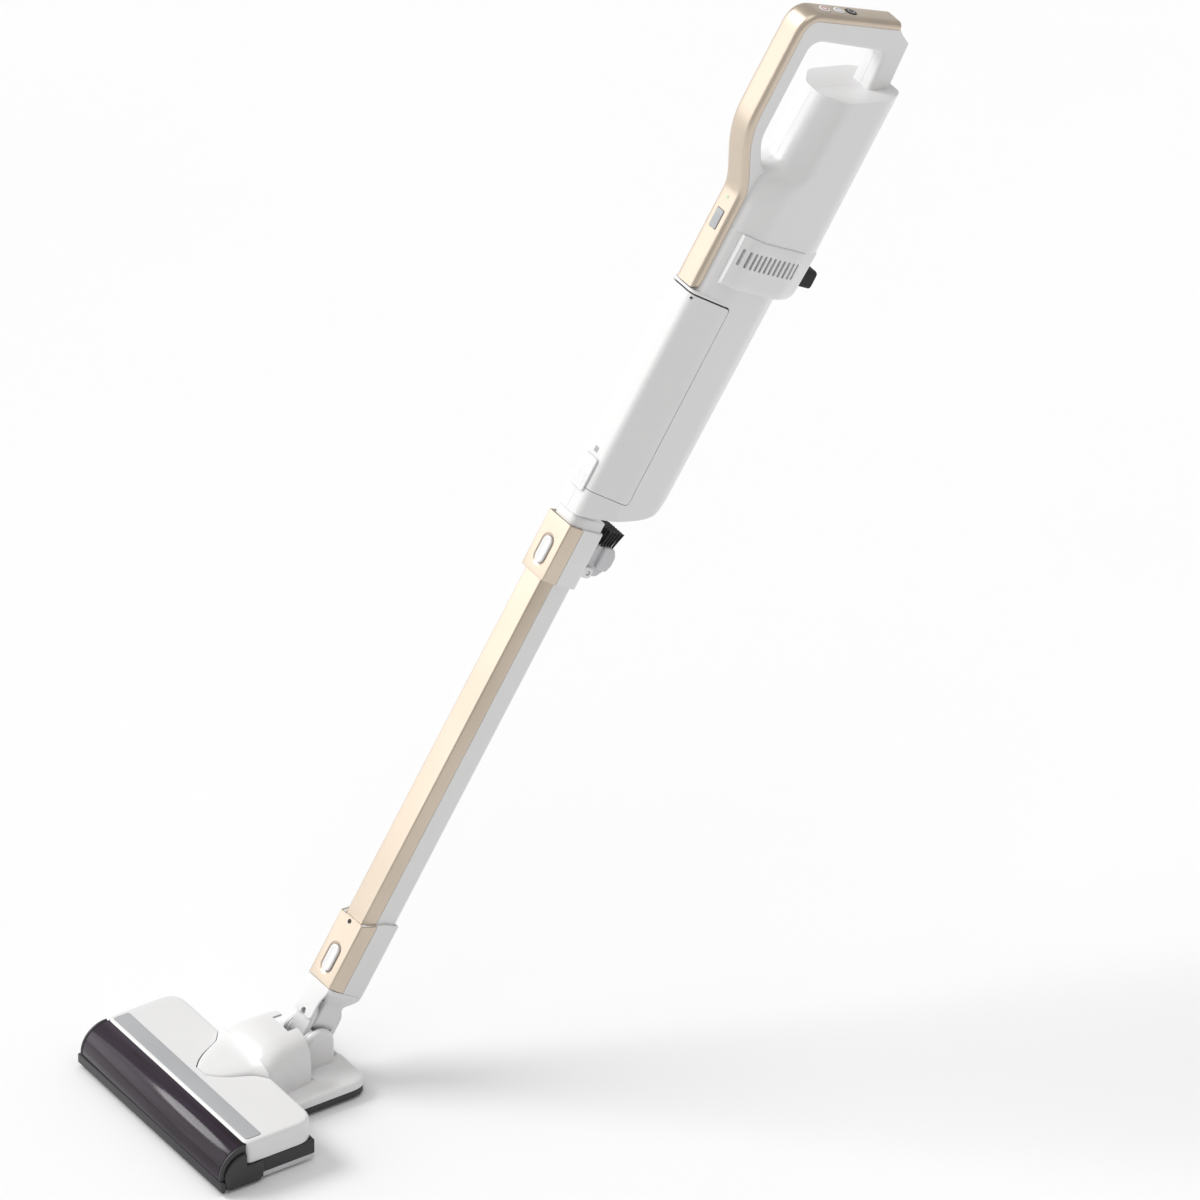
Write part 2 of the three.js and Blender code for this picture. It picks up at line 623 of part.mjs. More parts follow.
const DUST_BACK = [66, 69.8]; // the dust section's back, at its foot and at its top
const VENT_CORE =
  octagon({ front: -12.3, frontHalf: 17, slant: 12, half: 30, corner: 52, back: DUST_BACK[1], backHalf: 19 });
const UPPER_LEVELS = [
  { z: BODY.shoulder, front: -12, frontHalf: 17, back: 87.5, slant: 10 },
  { z: 862, front: -12, frontHalf: 17, back: 87.5, slant: 12 },
  { z: 876, front: -2, frontHalf: 14, back: 87.5, slant: 20 },
  { z: 888, front: 9, frontHalf: 12, back: 87.5, slant: 26 },
  { z: 966, front: 12, frontHalf: 12, back: 87.5, slant: 28 },
  { z: BODY.top + 6, front: 14, frontHalf: 12, back: 87.5, slant: 30 },
];
// Each of these is the body's outside, or its inside when moved in by d with plain corners.
const cornered = (section, d) => (d > 0 ? inset(section, d) : rounded(inset(section, d), 5));
const dustBody = (d) =>
  loft([[BODY.bottom - 4, DUST_BACK[0]], [DOOR.top + 4, DUST_BACK[1]]].map(([z, back]) => (
    { z, ring: cornered(dustSection(back), d) })));
const ventCore = (d) => plan(cornered(VENT_CORE, d), [DOOR.top + 3, BODY.shoulder + 1]);
const upperBody = (d) =>
  loft(UPPER_LEVELS.map(({ z, front, frontHalf, back, slant }) => (
    { z, ring: cornered(upperSection(front, frontHalf, back, slant), d) })));

// Ends of the top bar's gilded face in the y-z plane.
const TOP_BAR = { front: new THREE.Vector2(-30, 1023.5), rear: new THREE.Vector2(59, 1034) };

// The handle's outer line in the y-z plane: up the body's front, out to the grip, over the top.
function handleLine() {
  const line = new THREE.Path();
  line.moveTo(-19, 754);
  line.lineTo(-19, 842);
  line.bezierCurveTo(-19, 862, -48.5, 884, -48.5, 922);
  line.lineTo(-48.5, 1000);
  line.bezierCurveTo(-48.5, 1012, -43, 1021.9, TOP_BAR.front.x, TOP_BAR.front.y);
  line.lineTo(TOP_BAR.rear.x, TOP_BAR.rear.y);
  return line.getPoints(7);
}

// That line moved to the inner side by d.
function inner(line, d) {
  return line.map((point, i) => {
    const before = line[Math.max(i - 1, 0)];
    const after = line[Math.min(i + 1, line.length - 1)];
    const along = after.clone().sub(before).normalize();
    return point.clone().add(new THREE.Vector2(along.y, -along.x).multiplyScalar(d));
  });
}

// The strip between two distances from the line, as a closed outline.
const band = (line, near, far) => [...inner(line, near), ...inner(line, far).reverse()];

const HOLE = rounded(points([
  [-26, 900], [-8, 872], [20, 880], [60, 960], [58, 1000], [55, 1009], [-19, 1003.5], [-26, 996],
]), 7, 3);
const REAR_POST = rounded(points([
  [50, 955], [83, 955], [90.5, 985], [90.5, 1012], [78, 1030], [52, 1033],
]), 8, 3);

const TOP_TILT = TOP_BAR.rear.clone().sub(TOP_BAR.front).angle();
const topFace = (y) => TOP_BAR.front.y + (y - TOP_BAR.front.x) * Math.tan(TOP_TILT);
const POWER_BUTTONS = { off: -4, standard: 10, strong: -20 };
const POWER_R = 5.4;
const SWITCH = { z: [808, 826], half: 4.8 };

// A short bar square to the top bar's face, from a depth below the face to a height above it.
function topPlug(y, radius, from, to) {
  return rod("z", [from, to], radius, [0, 0], 20)
    .rotate([THREE.MathUtils.radToDeg(TOP_TILT), 0, 0])
    .translate([0, y, topFace(y)]);
}

// ---- Handheld body: shells ----
function bodyShells() {
  const line = handleLine();
  const rearEnd = [new THREE.Vector2(80, 1026), new THREE.Vector2(80, 960), new THREE.Vector2(-5, 850)];
  const region = (d) => [...inner(line, d), ...rearEnd, new THREE.Vector2(5, 754)];
  const halves = (d) => [-GRIP_HALF + d, GRIP_HALF - d];
  const longer = extended(line, GAP);
  const stripRoom = [
    side(band(longer, -3, TRIM + GAP).reverse(), [-20, 20]),
    side(band(longer, -3, TRIM_SIDE + GAP).reverse(), [GRIP_HALF - TRIM - GAP, 20]),
    side(band(longer, -3, TRIM_SIDE + GAP).reverse(), [-20, TRIM + GAP - GRIP_HALF]),
  ];
  const loop = cut(
    join(
      side(region(TRIM + GAP).reverse(), halves(TRIM + GAP)),
      side(region(TRIM_SIDE + GAP).reverse(), halves(0)),
      cut(side(REAR_POST, halves(0)), ...stripRoom),
    ),
    side(HOLE, [-20, 20]),
  );
  const grip = line.slice(8);
  const wiring = side(band(grip, 6, 17).reverse(), [-9, 9]);

  const slope = Math.atan2(BODY.backBottom - BODY.bottom, DUST_BACK[0] + 18.8);
  const underneath = block([-60, 60], [-60, 120], [-60, 0])
    .rotate([THREE.MathUtils.radToDeg(slope), 0, 0])
    .translate([0, -18.8, BODY.bottom]);
  const topSlope = block([-60, 60], [-60, 120], [0, 60])
    .rotate([9, 0, 0])
    .translate([0, 12, BODY.top - 13]);
  const outside = join(
    cut(dustBody(0), underneath),
    ventCore(0),
    cut(upperBody(0), topSlope),
    cut(loop, wiring),
  );
  const everywhere = [[-60, 60], [-60, 120]];
  const dustRoom = cut(dustBody(WALL), underneath.translate([0, 0, WALL + 1]),
    block(...everywhere, [DOOR.top + 2, 900]));
  const ventRoom = cut(ventCore(WALL), block(...everywhere, [764, 767]),
    block(...everywhere, [BODY.shoulder - 2, 900]));
  const upperRoom = cut(upperBody(WALL), topSlope.translate([0, 0, -WALL]),
    block(...everywhere, [700, BODY.shoulder + WALL]));
  const doorway = block([-60, 60], [-60, DOOR.rear + GAP], [DOOR.bottom - GAP, DOOR.top + 1.6]);
  const motorAxis = [0, MOTOR_Y];
  const shells = cut(
    outside,
    dustRoom,
    ventRoom,
    upperRoom,
    rod("z", [BODY.shoulder - 4, 830], 23.6, motorAxis, 24),
    rod("z", [760, 775], 14, motorAxis),
    block([-14, 14], [-6, 50], [745, 755]),
    doorway,
    rod("z", [500, 580], SPIGOT_R + 0.4),
    ventCuts([[-60, -24], [24, 60]], 2, 52),
    switchRoom(0.5),
    ...Object.values(POWER_BUTTONS).map((y) => topPlug(y, POWER_R + 0.5, -5, 8)),
  );
  bothSides((word, sign) => {
    const half = shells.intersect(block(across([0.15, 80], sign), [-100, 150], [400, 1200]));
    add(stick, `body_shell_${word}`, biggest(half), WHITE);
  });

  const strip = cut(
    side(band(line, 0, TRIM_SIDE).reverse(), halves(0)),
    side(band(extended(line, 3), TRIM, TRIM_SIDE + 3).reverse(), halves(TRIM)),
    switchRoom(0.4),
    ...Object.values(POWER_BUTTONS).map((y) => topPlug(y, POWER_R + 0.4, -5, 8)),
  );
  add(stick, "handle_strip", strip, GOLD);
}

// The largest separate piece of a solid.
const biggest = (solid) =>
  solid.decompose().reduce((best, next) => (next.volume() > best.volume() ? next : best));

// A line with both ends drawn on by d.
function extended(line, d) {
  const on = (end, before) => end.clone().add(end.clone().sub(before).normalize().multiplyScalar(d));
  return [on(line[0], line[1]), ...line.slice(1, -1), on(line.at(-1), line.at(-2))];
}

const switchRoom = (grow) =>
  block([-SWITCH.half - grow, SWITCH.half + grow], [-24, -14.5],
    [SWITCH.z[0] - grow, SWITCH.z[1] + grow]);

const ventCuts = (xs, y0, y1) => join(...xs.map((x) => block(x, [y0, y1], [789, 807])));

function ventBand() {
  const outside = loft([
    { z: BODY.vent + GAP, ring: rounded(ventSection(32, 82), 5) },
    { z: BODY.vent + 5, ring: rounded(ventSection(34, 87), 5) },
    { z: BODY.shoulder - GAP, ring: rounded(ventSection(34.6, 90), 5) },
  ]);
  const arm = block([-6, 6], [84, 100], [779, 792]);
  let shape = cut(
    join(outside, arm),
    ventCore(-GAP),
    block([-60, 60], [-60, -4], [700, 900]),
  );
  const slots = 12;
  for (let i = 0; i < slots; i++) {
    const y = -1 + i * 5.6;
    shape = cut(shape, block([-60, 60], [y, y + 2.6], [790, 806]));
  }
  add(stick, "vent_band", shape, WHITE);
  const pad = cut(block([-8, 8], [94, 114], [777, 794]), block([-6.3, 6.3], [90, 100.3], [778.7, 792.3]));
  add(stick, "lean_bumper", pad, RUBBER);
}

// ---- Handheld body: dust door ----
const HINGE = { y: -16, z: DOOR.top - 2.9 };
function dustDoor() {
  const within = block([-60, 60], [-60, DOOR.rear], [DOOR.bottom, DOOR.top]);
  const skin = cut(dustBody(0), dustBody(2)).intersect(within);
  const knuckle = rod("x", [-7, 7], 2.6, [HINGE.y, HINGE.z], 16);
  const slot = block([-5.5, 5.5], [-30, -10], [562, 574]);
  add(stick, "dust_door",
    cut(join(skin, knuckle), rod("x", [-40, 40], 1.5, [HINGE.y, HINGE.z], 12), slot), WHITE);
  add(stick, "door_pin", rod("x", [-11.5, 11.5], 1.2, [HINGE.y, HINGE.z], 12), STEEL);

  const latch = join(
    block([-9.5, 9.5], [-21.2, -19.1], [549, 580]),
    block([-5, 5], [-19.5, -14], [562.6, 568.6]),
  );
  add(stick, "door_latch", latch, WHITE);
}

// ---- Handheld body: inside ----
function insides() {
  const duct = join(
    plan(rounded(WAND_SECTION, 3), [UPPER_COLLAR[0] + 45, BODY.bottom - 0.6]),
    rod("z", [520, 559], SPIGOT_R),
  );
  add(stick, "inlet_duct", cut(duct, rod("z", [490, 600], 12.6)), WHITE);

  const card = points([[-13, -13], [13, -13], [22, 6], [22, 48], [-22, 48], [-22, 6]]);
  add(stick, "bag_card", cut(plan(card, [560, 563]), rod("z", [550, 570], 14)), CARD);
  const bagRing = (z, d) => ({ z, ring: rounded(inset(dustSection(DUST_BACK[0]), d), 8) });
  add(stick, "dust_bag",
    loft([bagRing(563.4, 10), bagRing(578, 5), bagRing(728, 4.5), bagRing(745, 10)]), PAPER);
  const filter = plan(rounded(inset(VENT_CORE, WALL + 2 * GAP), 3), [DOOR.top + 3 + GAP, 763.4]);
  add(stick, "pre_filter", filter, FOAM);

  const at = [0, MOTOR_Y];
  const housing = cut(rod("z", [777, 846], 23, at, 28), rod("z", [779, 850], 21, at, 28),
    rod("z", [770, 790], 14, at));
  add(stick, "fan_housing", housing, PALE);
  const blades = Array.from({ length: 7 }, (_, i) =>
    block([3, 18], [-0.8, 0.8], [781, 787]).rotate([0, 0, (360 * i) / 7]).translate([0, MOTOR_Y, 0]));
  const wheel = cut(
    join(rod("z", [786.5, 789], 18.5, at), rod("z", [781, 788], 5, at, 16), ...blades),
    rod("z", [700, 900], 2.3, at, 12),
  );
  add(stick, "impeller", wheel, GREY);
  const motor = join(rod("z", [792, 838], 17, at), rod("z", [782, 793], 2, at, 12));
  add(stick, "suction_motor", motor, STEEL);

  const cells = [-1, 0, 1].flatMap((i) => [0, 1].map((j) =>
    rod("z", [872, 937], 9.3, [i * 18.4, 38 + j * 18.4], 16)));
  const tray = block([-27, 27], [31, 62], [868, 873]);
  add(stick, "battery_pack", join(tray, ...cells), CELL);
  add(stick, "circuit_board", block([-17, 17], [20, 21.6], [890, 950]), BOARD);
}

function controls() {
  for (const [name, y] of Object.entries(POWER_BUTTONS)) {
    add(stick, `${name}_button`, topPlug(y, POWER_R, -3, 0.7), name === "standard" ? DARK : WHITE);
  }
  const { z, half } = SWITCH;
  add(stick, "brush_switch", block([-half, half], [-20, -15.8], z), GREY);
}

headShells();
headChassis();
brushDrive();
neck();
collar("lower", LOWER_COLLAR, []);
wand();
collar("upper", UPPER_COLLAR, toolEars());
brushTool();
bodyShells();
ventBand();
dustDoor();
insides();
controls();

export default vacuum;
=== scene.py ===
import json
import math

import bpy
import bmesh
from mathutils import Matrix, Vector

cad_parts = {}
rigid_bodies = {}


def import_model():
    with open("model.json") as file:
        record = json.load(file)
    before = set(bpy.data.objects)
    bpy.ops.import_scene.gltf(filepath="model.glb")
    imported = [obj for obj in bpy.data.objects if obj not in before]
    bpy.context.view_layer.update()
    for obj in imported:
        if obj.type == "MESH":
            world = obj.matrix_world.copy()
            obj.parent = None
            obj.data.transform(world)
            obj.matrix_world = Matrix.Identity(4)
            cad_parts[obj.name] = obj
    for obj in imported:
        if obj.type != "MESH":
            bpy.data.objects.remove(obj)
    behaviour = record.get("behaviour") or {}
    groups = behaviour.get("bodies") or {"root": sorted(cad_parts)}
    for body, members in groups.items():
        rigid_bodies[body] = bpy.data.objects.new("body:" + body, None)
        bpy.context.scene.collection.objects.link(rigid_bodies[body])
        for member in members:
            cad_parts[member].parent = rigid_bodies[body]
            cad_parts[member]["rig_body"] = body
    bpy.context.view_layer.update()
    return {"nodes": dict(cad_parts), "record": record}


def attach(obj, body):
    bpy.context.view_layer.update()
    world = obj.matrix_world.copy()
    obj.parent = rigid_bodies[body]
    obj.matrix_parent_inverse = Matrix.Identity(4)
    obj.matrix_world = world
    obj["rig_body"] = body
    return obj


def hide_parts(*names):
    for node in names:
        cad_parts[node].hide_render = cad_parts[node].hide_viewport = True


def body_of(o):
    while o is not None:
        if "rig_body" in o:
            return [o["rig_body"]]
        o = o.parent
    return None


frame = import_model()

# ---- The frame's own places ----
JOINTS = {joint["name"]: joint for joint in frame["record"]["behaviour"]["joints"]}
SLOT_OF = {part["node"]: part["material_slot"] for part in frame["record"]["subparts"]}
UP_STICK = JOINTS["wand_pull"]["axis"]
LEAN = math.atan2(UP_STICK[1], UP_STICK[2])
PIVOT = Vector(JOINTS["neck_pitch"]["pos_m"])
HEAD = Matrix.Scale(0.001, 4)  # millimetres in the head's frame
STICK = Matrix.Translation(PIVOT) @ Matrix.Rotation(-LEAN, 4, "X") @ HEAD


def local_box(node, place=STICK):
    """Lowest and highest x, y and z of a CAD node, in millimetres of the given frame."""
    back = place.inverted()
    found = [back @ vertex.co for vertex in frame["nodes"][node].data.vertices]
    return [(min(p[i] for p in found), max(p[i] for p in found)) for i in range(3)]


def joint_place(name):
    """Where a joint is, in millimetres of the stick's frame."""
    return STICK.inverted() @ Vector(JOINTS[name]["pos_m"])


# ---- Materials ----
def ramp(nodes, dark, light):
    """A colour ramp from dark to light over the middle of a noise's range."""
    node = nodes.new("ShaderNodeValToRGB")
    node.color_ramp.elements[0].position = 0.3
    node.color_ramp.elements[0].color = (*dark, 1)
    node.color_ramp.elements[1].position = 0.7
    node.color_ramp.elements[1].color = (*light, 1)
    return node


def noise(material, scale, detail, stretch=(1, 1, 1)):
    """Noise over the object's own coordinates, in metres, drawn out by stretch."""
    nodes, links = material.node_tree.nodes, material.node_tree.links
    place = nodes.new("ShaderNodeTexCoord")
    mapping = nodes.new("ShaderNodeMapping")
    mapping.inputs["Scale"].default_value = stretch
    texture = nodes.new("ShaderNodeTexNoise")
    texture.inputs["Scale"].default_value = scale
    texture.inputs["Detail"].default_value = detail
    links.new(place.outputs["Object"], mapping.inputs["Vector"])
    links.new(mapping.outputs["Vector"], texture.inputs["Vector"])
    return texture.outputs["Fac"]


def surface(name, color, rough, vary=0.03, cloud=14, grain=900, bump=0.06, depth=0.0002,
            stretch=(1, 1, 1), rough_vary=0.05, light=None, **fixed):
    """A moulded, metal or fibrous surface: cloudy colour, fine relief and uneven gloss."""
    material = bpy.data.materials.new(name)
    material.use_nodes = True
    nodes, links = material.node_tree.nodes, material.node_tree.links
    shader = nodes["Principled BSDF"]
    for socket, value in fixed.items():
        shader.inputs[socket.replace("_", " ")].default_value = value
    dark = tuple(c * (1 - vary) for c in color)
    light = light or tuple(min(c * (1 + vary), 1) for c in color)
    tint = ramp(nodes, dark, light)
    links.new(noise(material, cloud, 4.0, stretch), tint.inputs["Fac"])
    links.new(tint.outputs["Color"], shader.inputs["Base Color"])
    fine = noise(material, grain, 2.0, stretch)
    relief = nodes.new("ShaderNodeBump")
    relief.inputs["Strength"].default_value = bump
    relief.inputs["Distance"].default_value = depth
    links.new(fine, relief.inputs["Height"])
    links.new(relief.outputs["Normal"], shader.inputs["Normal"])
    spread = nodes.new("ShaderNodeMapRange")
    spread.inputs["To Min"].default_value = max(rough - rough_vary, 0.02)
    spread.inputs["To Max"].default_value = min(rough + rough_vary, 1)
    links.new(noise(material, cloud * 4, 3.0), spread.inputs["Value"])
    links.new(spread.outputs["Result"], shader.inputs["Roughness"])
    return material


ALONG_X = (0.06, 1, 1)
MATERIALS = {
    "white_shell": surface("white_shell", (0.80, 0.795, 0.795), 0.30, vary=0.006, bump=0.01, rough_vary=0.02),
    "pale_plastic": surface("pale_plastic", (0.60, 0.60, 0.615), 0.42, vary=0.03, bump=0.12),
    "grey_plastic": surface("grey_plastic", (0.43, 0.44, 0.455), 0.38, vary=0.05, bump=0.10),
    "dark_plastic": surface("dark_plastic", (0.030, 0.029, 0.032), 0.46, vary=0.18, bump=0.25),
    "smoked_window": surface(
        "smoked_window", (0.020, 0.012, 0.016), 0.13, vary=0.3, cloud=110, bump=0.02,
        stretch=ALONG_X, light=(0.050, 0.036, 0.055), Transmission_Weight=0.1, IOR=1.36),
    "champagne": surface(
        "champagne", (0.63, 0.54, 0.44), 0.34, vary=0.05, grain=2600, bump=0.10, Metallic=0.8),
    "rubber": surface("rubber", (0.018, 0.018, 0.02), 0.78, vary=0.2, grain=600, bump=0.3),
    "bristle": surface("bristle", (0.014, 0.013, 0.014), 0.6, vary=0.4, cloud=400, bump=0.2),
    "steel": surface(
        "steel", (0.55, 0.55, 0.56), 0.3, grain=1500, bump=0.12, stretch=(0.1, 1, 1), Metallic=1.0),
    "motor_steel": surface(
        "motor_steel", (0.48, 0.48, 0.5), 0.38, grain=1200, bump=0.15, Metallic=1.0),
    "paper": surface("paper", (0.74, 0.69, 0.58), 0.93, vary=0.08, cloud=120, grain=1400, bump=0.5),
    "card": surface("card", (0.53, 0.40, 0.25), 0.9, vary=0.12, cloud=150, grain=900, bump=0.5),
    "foam": surface(
        "foam", (0.055, 0.062, 0.072), 0.97, vary=0.5, cloud=700, grain=1100, bump=0.9, depth=0.001),
    "battery": surface("battery", (0.09, 0.23, 0.43), 0.33, vary=0.06, bump=0.08),
    "board": surface("board", (0.03, 0.14, 0.06), 0.4, vary=0.3, cloud=260, bump=0.3),
}
RED_RING = surface("red_ring", (0.55, 0.06, 0.05), 0.4, vary=0.05)
LED_GREEN = surface("led_green", (0.45, 0.70, 0.42), 0.2, vary=0.05)


# ---- Outlines, as lists of 2-D points, counter-clockwise ----
def fillet(corners, radius, steps=6):
    """Each corner drawn as a curve; radius is one length or one for each corner."""
    made = []
    for i, corner in enumerate(corners):
        reach = radius[i] if isinstance(radius, (list, tuple)) else radius
        here = Vector(corner)
        if reach == 0:
            made.append(here)
            continue
        ends = []
        for other in (Vector(corners[i - 1]), Vector(corners[(i + 1) % len(corners)])):
            away = other - here
            ends.append(here + away.normalized() * min(reach, away.length * 0.48))
        for k in range(steps + 1):
            t = k / steps
            made.append(ends[0] * (1 - t) ** 2 + here * 2 * t * (1 - t) + ends[1] * t * t)
    return made


def inset(ring, d):
    """The outline moved inwards by d."""
    if d == 0:
        return [Vector(p) for p in ring]
    made = []
    for i, point in enumerate(ring):
        here = Vector(point)
        before = (here - Vector(ring[i - 1])).normalized()
        after = (Vector(ring[(i + 1) % len(ring)]) - here).normalized()
        normals = [Vector((-before.y, before.x)), Vector((-after.y, after.x))]
        share = 1 + normals[0].dot(normals[1])
        made.append(here + (normals[0] + normals[1]) * (d / max(share, 0.3)))
    return made


def circle(radius, centre=(0, 0), steps=48):
    """Points round a whole circle."""
    turns = [2 * math.pi * i / steps for i in range(steps)]
    return [Vector((centre[0] + radius * math.cos(t), centre[1] + radius * math.sin(t)))
            for t in turns]


def rectangle(x0, x1, y0, y1, radius=0, steps=6):
    return fillet([(x0, y0), (x1, y0), (x1, y1), (x0, y1)], radius, steps)


def arc(centre, radius, start, end, steps):
    """Points round part of a circle, from start to end in degrees."""
    turns = [math.radians(start + (end - start) * i / steps) for i in range(steps + 1)]
    return [Vector((centre[0] + radius * math.cos(t), centre[1] + radius * math.sin(t)))
            for t in turns]


# ---- Meshes ----
def skin(rings):
    """A closed mesh over rings of equally many 3-D points."""
    count = len(rings[0])
    points = [point for ring in rings for point in ring]
    faces = []
    for level in range(len(rings) - 1):
        for i in range(count):
            a, b = level * count + i, level * count + (i + 1) % count
            faces.append((a, b, b + count, a + count))
    last = (len(rings) - 1) * count
    faces.append(tuple(reversed(range(count))))
    faces.append(tuple(range(last, last + count)))
    mesh = bpy.data.meshes.new("skin")
    mesh.from_pydata(points, [], faces)
    work = bmesh.new()
    work.from_mesh(mesh)
    bmesh.ops.recalc_face_normals(work, faces=work.faces)
    work.to_mesh(mesh)
    work.free()
    return mesh


TURNED = {
    "x": lambda a, b, along: Vector((along, a, b)),
    "y": lambda a, b, along: Vector((a, along, b)),
    "z": lambda a, b, along: Vector((a, b, along)),
}


def stack(outline, levels, axis):
    """The outline at each (place along the axis, inset)."""
    turned = TURNED[axis]
    return skin([[turned(p.x, p.y, along) for p in inset(outline, d)] for along, d in levels])


def rounded_ends(low, high, radius, steps=4):
    """Levels of a bar whose two end edges are rounded."""
    turns = [math.pi / 2 * i / steps for i in range(steps + 1)]
    first = [(low + radius * (1 - math.sin(t)), radius * (1 - math.cos(t))) for t in turns]
    second = [(high - radius * (1 - math.sin(t)), radius * (1 - math.cos(t))) for t in turns]
    return first[::-1] + second


def flared_ends(low, high, radius, steps=4):
    """Levels of a cutter that rounds the edges of the hole it makes, and runs past both faces."""
    turns = [math.pi / 2 * i / steps for i in range(steps + 1)]
    first = [(low + radius * (1 - math.sin(t)), -radius * (1 - math.cos(t))) for t in turns]
    second = [(high - radius * (1 - math.sin(t)), -radius * (1 - math.cos(t))) for t in turns]
    return [(low - 3, -radius)] + first[::-1] + second + [(high + 3, -radius)]


def prism(outline, span, axis):
    """A bar with square ends, for cutting and keeping."""
    return stack(outline, [(span[0], 0), (span[1], 0)], axis)


def bar(outline, span, axis, radius=0.6, steps=4):
    return stack(outline, rounded_ends(span[0], span[1], radius, steps), axis)


def rod(axis, span, radius, centre=(0, 0), edge=0.4, steps=48):
    """A round bar; an edge of 0 leaves its ends sharp."""
    return bar(circle(radius, centre, steps), span, axis, edge, 3)


def block(x, y, z):
    return prism(rectangle(*x, *y), z, "z")


def mirrored(sign, a, b):
    """The span from a to b on the right (sign 1), or its mirror image on the left (sign -1)."""
    return tuple(sorted((sign * a, sign * b)))


def tuft(root, tip, u, v, stages, sides):
    """A bundle of bristles; stages are (share of its length, radius), and u and v lie across it."""
    turns = [math.pi * 2 * i / sides for i in range(sides)]
    return skin([[root.lerp(tip, t) + r * (math.cos(a) * u + math.sin(a) * v) for a in turns]
                 for t, r in stages])


def modelled(mesh, change):
    """The mesh after the modifiers that change() puts on it."""
    thing = bpy.data.objects.new("work", mesh)
    bpy.context.scene.collection.objects.link(thing)
    helpers = change(thing) or []
    made = bpy.data.meshes.new_from_object(
        thing.evaluated_get(bpy.context.evaluated_depsgraph_get()))
    for helper in [thing, *helpers]:
        bpy.data.objects.remove(helper)
    return made


def combine(mesh, tools, operation):
    """The mesh after one boolean with each tool."""
    def change(thing):
        helpers = []
        for tool in tools:
            helper = bpy.data.objects.new("tool", tool)
            bpy.context.scene.collection.objects.link(helper)
            boolean = thing.modifiers.new("boolean", "BOOLEAN")
            boolean.operation = operation
            boolean.solver = "EXACT"
            boolean.object = helper
            helpers.append(helper)
        return helpers
    return modelled(mesh, change)


def cut(mesh, *tools):
    return combine(mesh, tools, "DIFFERENCE")


def join(mesh, *others):
    return combine(mesh, others, "UNION")


def keep(mesh, tool):
    return combine(mesh, [tool], "INTERSECT")


def together(meshes):
    """Several separate meshes as one."""
    work = bmesh.new()
    for mesh in meshes:
        work.from_mesh(mesh)
    made = bpy.data.meshes.new("group")
    work.to_mesh(made)
    work.free()
    return made


SHARP = math.radians(32)


def piece(name, mesh, place, node, *replaced, material=None, stands_for=True):
    """Puts a finished mesh on the body of a CAD node, in that node's slot."""
    if place is not None:
        mesh.transform(place)
    for polygon in mesh.polygons:
        polygon.use_smooth = True
    mesh.set_sharp_from_angle(angle=SHARP)
    mesh.materials.clear()
    mesh.materials.append(material or MATERIALS[SLOT_OF[node]])
    thing = bpy.data.objects.new(name, mesh)
    bpy.context.scene.collection.objects.link(thing)
    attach(thing, body_of(frame["nodes"][node])[0])
    if stands_for:
        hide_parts(node, *replaced)
    return thing


# ---- CAD nodes that stay: softened edges and their slot's material ----
def soften(node):
    """Gives a CAD node its material and small rounded edges."""
    thing = frame["nodes"][node]
    thing.data.materials.clear()
    thing.data.materials.append(MATERIALS[SLOT_OF[node]])
    for polygon in thing.data.polygons:
        polygon.use_smooth = True
    thing.modifiers.new("weld", "WELD").merge_threshold = 1e-6
    bevel = thing.modifiers.new("bevel", "BEVEL")
    bevel.width = 0.0004
    bevel.segments = 2
    bevel.limit_method = "ANGLE"
    bevel.angle_limit = math.radians(40)
    bevel.harden_normals = True


for each in frame["nodes"]:
    soften(each)

# ---- Floor head ----
CHAMBER = (-137, 17)  # the brush roll's axis: y, z
COVER_HALF = 112.5
COVER_FRONT = -135.5
COVER_REAR = -64
COVER_TOP = 44
COVER_EDGE = 22
WALL = 2.2
STRIP = [(-107, 107), (-131.4, -116)]
HUB = (0, 38)  # the neck's pitch axis: y, z
HUB_HALF = 14.3
EDGE_GAP = 0.3
ARCH_SIDES, ARCH_TOP = 0.55, 0.7  # powers below 1 make the dome's arches boxier
DOME = [  # y, half width, top
    (-19, 35, 62), (-32, 36.5, 62.4), (-46, 37.5, 62), (-58, 40, 58.5), (-66, 41.5, 54),
    (-71, 35, 51.6), (-76, 30, 50), (-85, 25.5, 48.6), (-94, 21, 47.2), (-103, 14.5, 45.8), (-110, 7, 44.7),
]


def cover_outline():
    x = COVER_HALF
    return fillet([(-x, COVER_FRONT), (x, COVER_FRONT), (x, COVER_REAR), (-x, COVER_REAR)],
                  [8, 8, 18, 18], 9)


def eased(stations, between=4):
    """The stations with smooth ones between them."""
    made = []
    for i in range(len(stations) - 1):
        ring = [stations[max(i - 1, 0)], stations[i], stations[i + 1],
                stations[min(i + 2, len(stations) - 1)]]
        for k in range(between):
            t = k / between
            made.append(tuple(
                0.5 * (2 * b + (c - a) * t + (2 * a - 5 * b + 4 * c - d) * t * t
                       + (3 * b - a - 3 * c + d) * t ** 3)
                for a, b, c, d in zip(*ring)))
    return made + [stations[-1]]


def dome(stations, base, shoulder, grow=0.0, steps=28):
    """Boxy arches across x at each station, from base up to the station's top."""
    rings = []
    for y, half, top in eased(stations):
        ring = [(-half - grow, y, base), (half + grow, y, base)]
        for i in range(steps + 1):
            turn = math.pi * i / steps
            c, s = math.cos(turn), math.sin(turn)
            across = (half + grow) * math.copysign(abs(c) ** ARCH_SIDES, c)
            ring.append((across, y, shoulder + (top + grow - shoulder) * abs(s) ** ARCH_TOP))
        rings.append([Vector(p) for p in ring])
    return skin(rings)


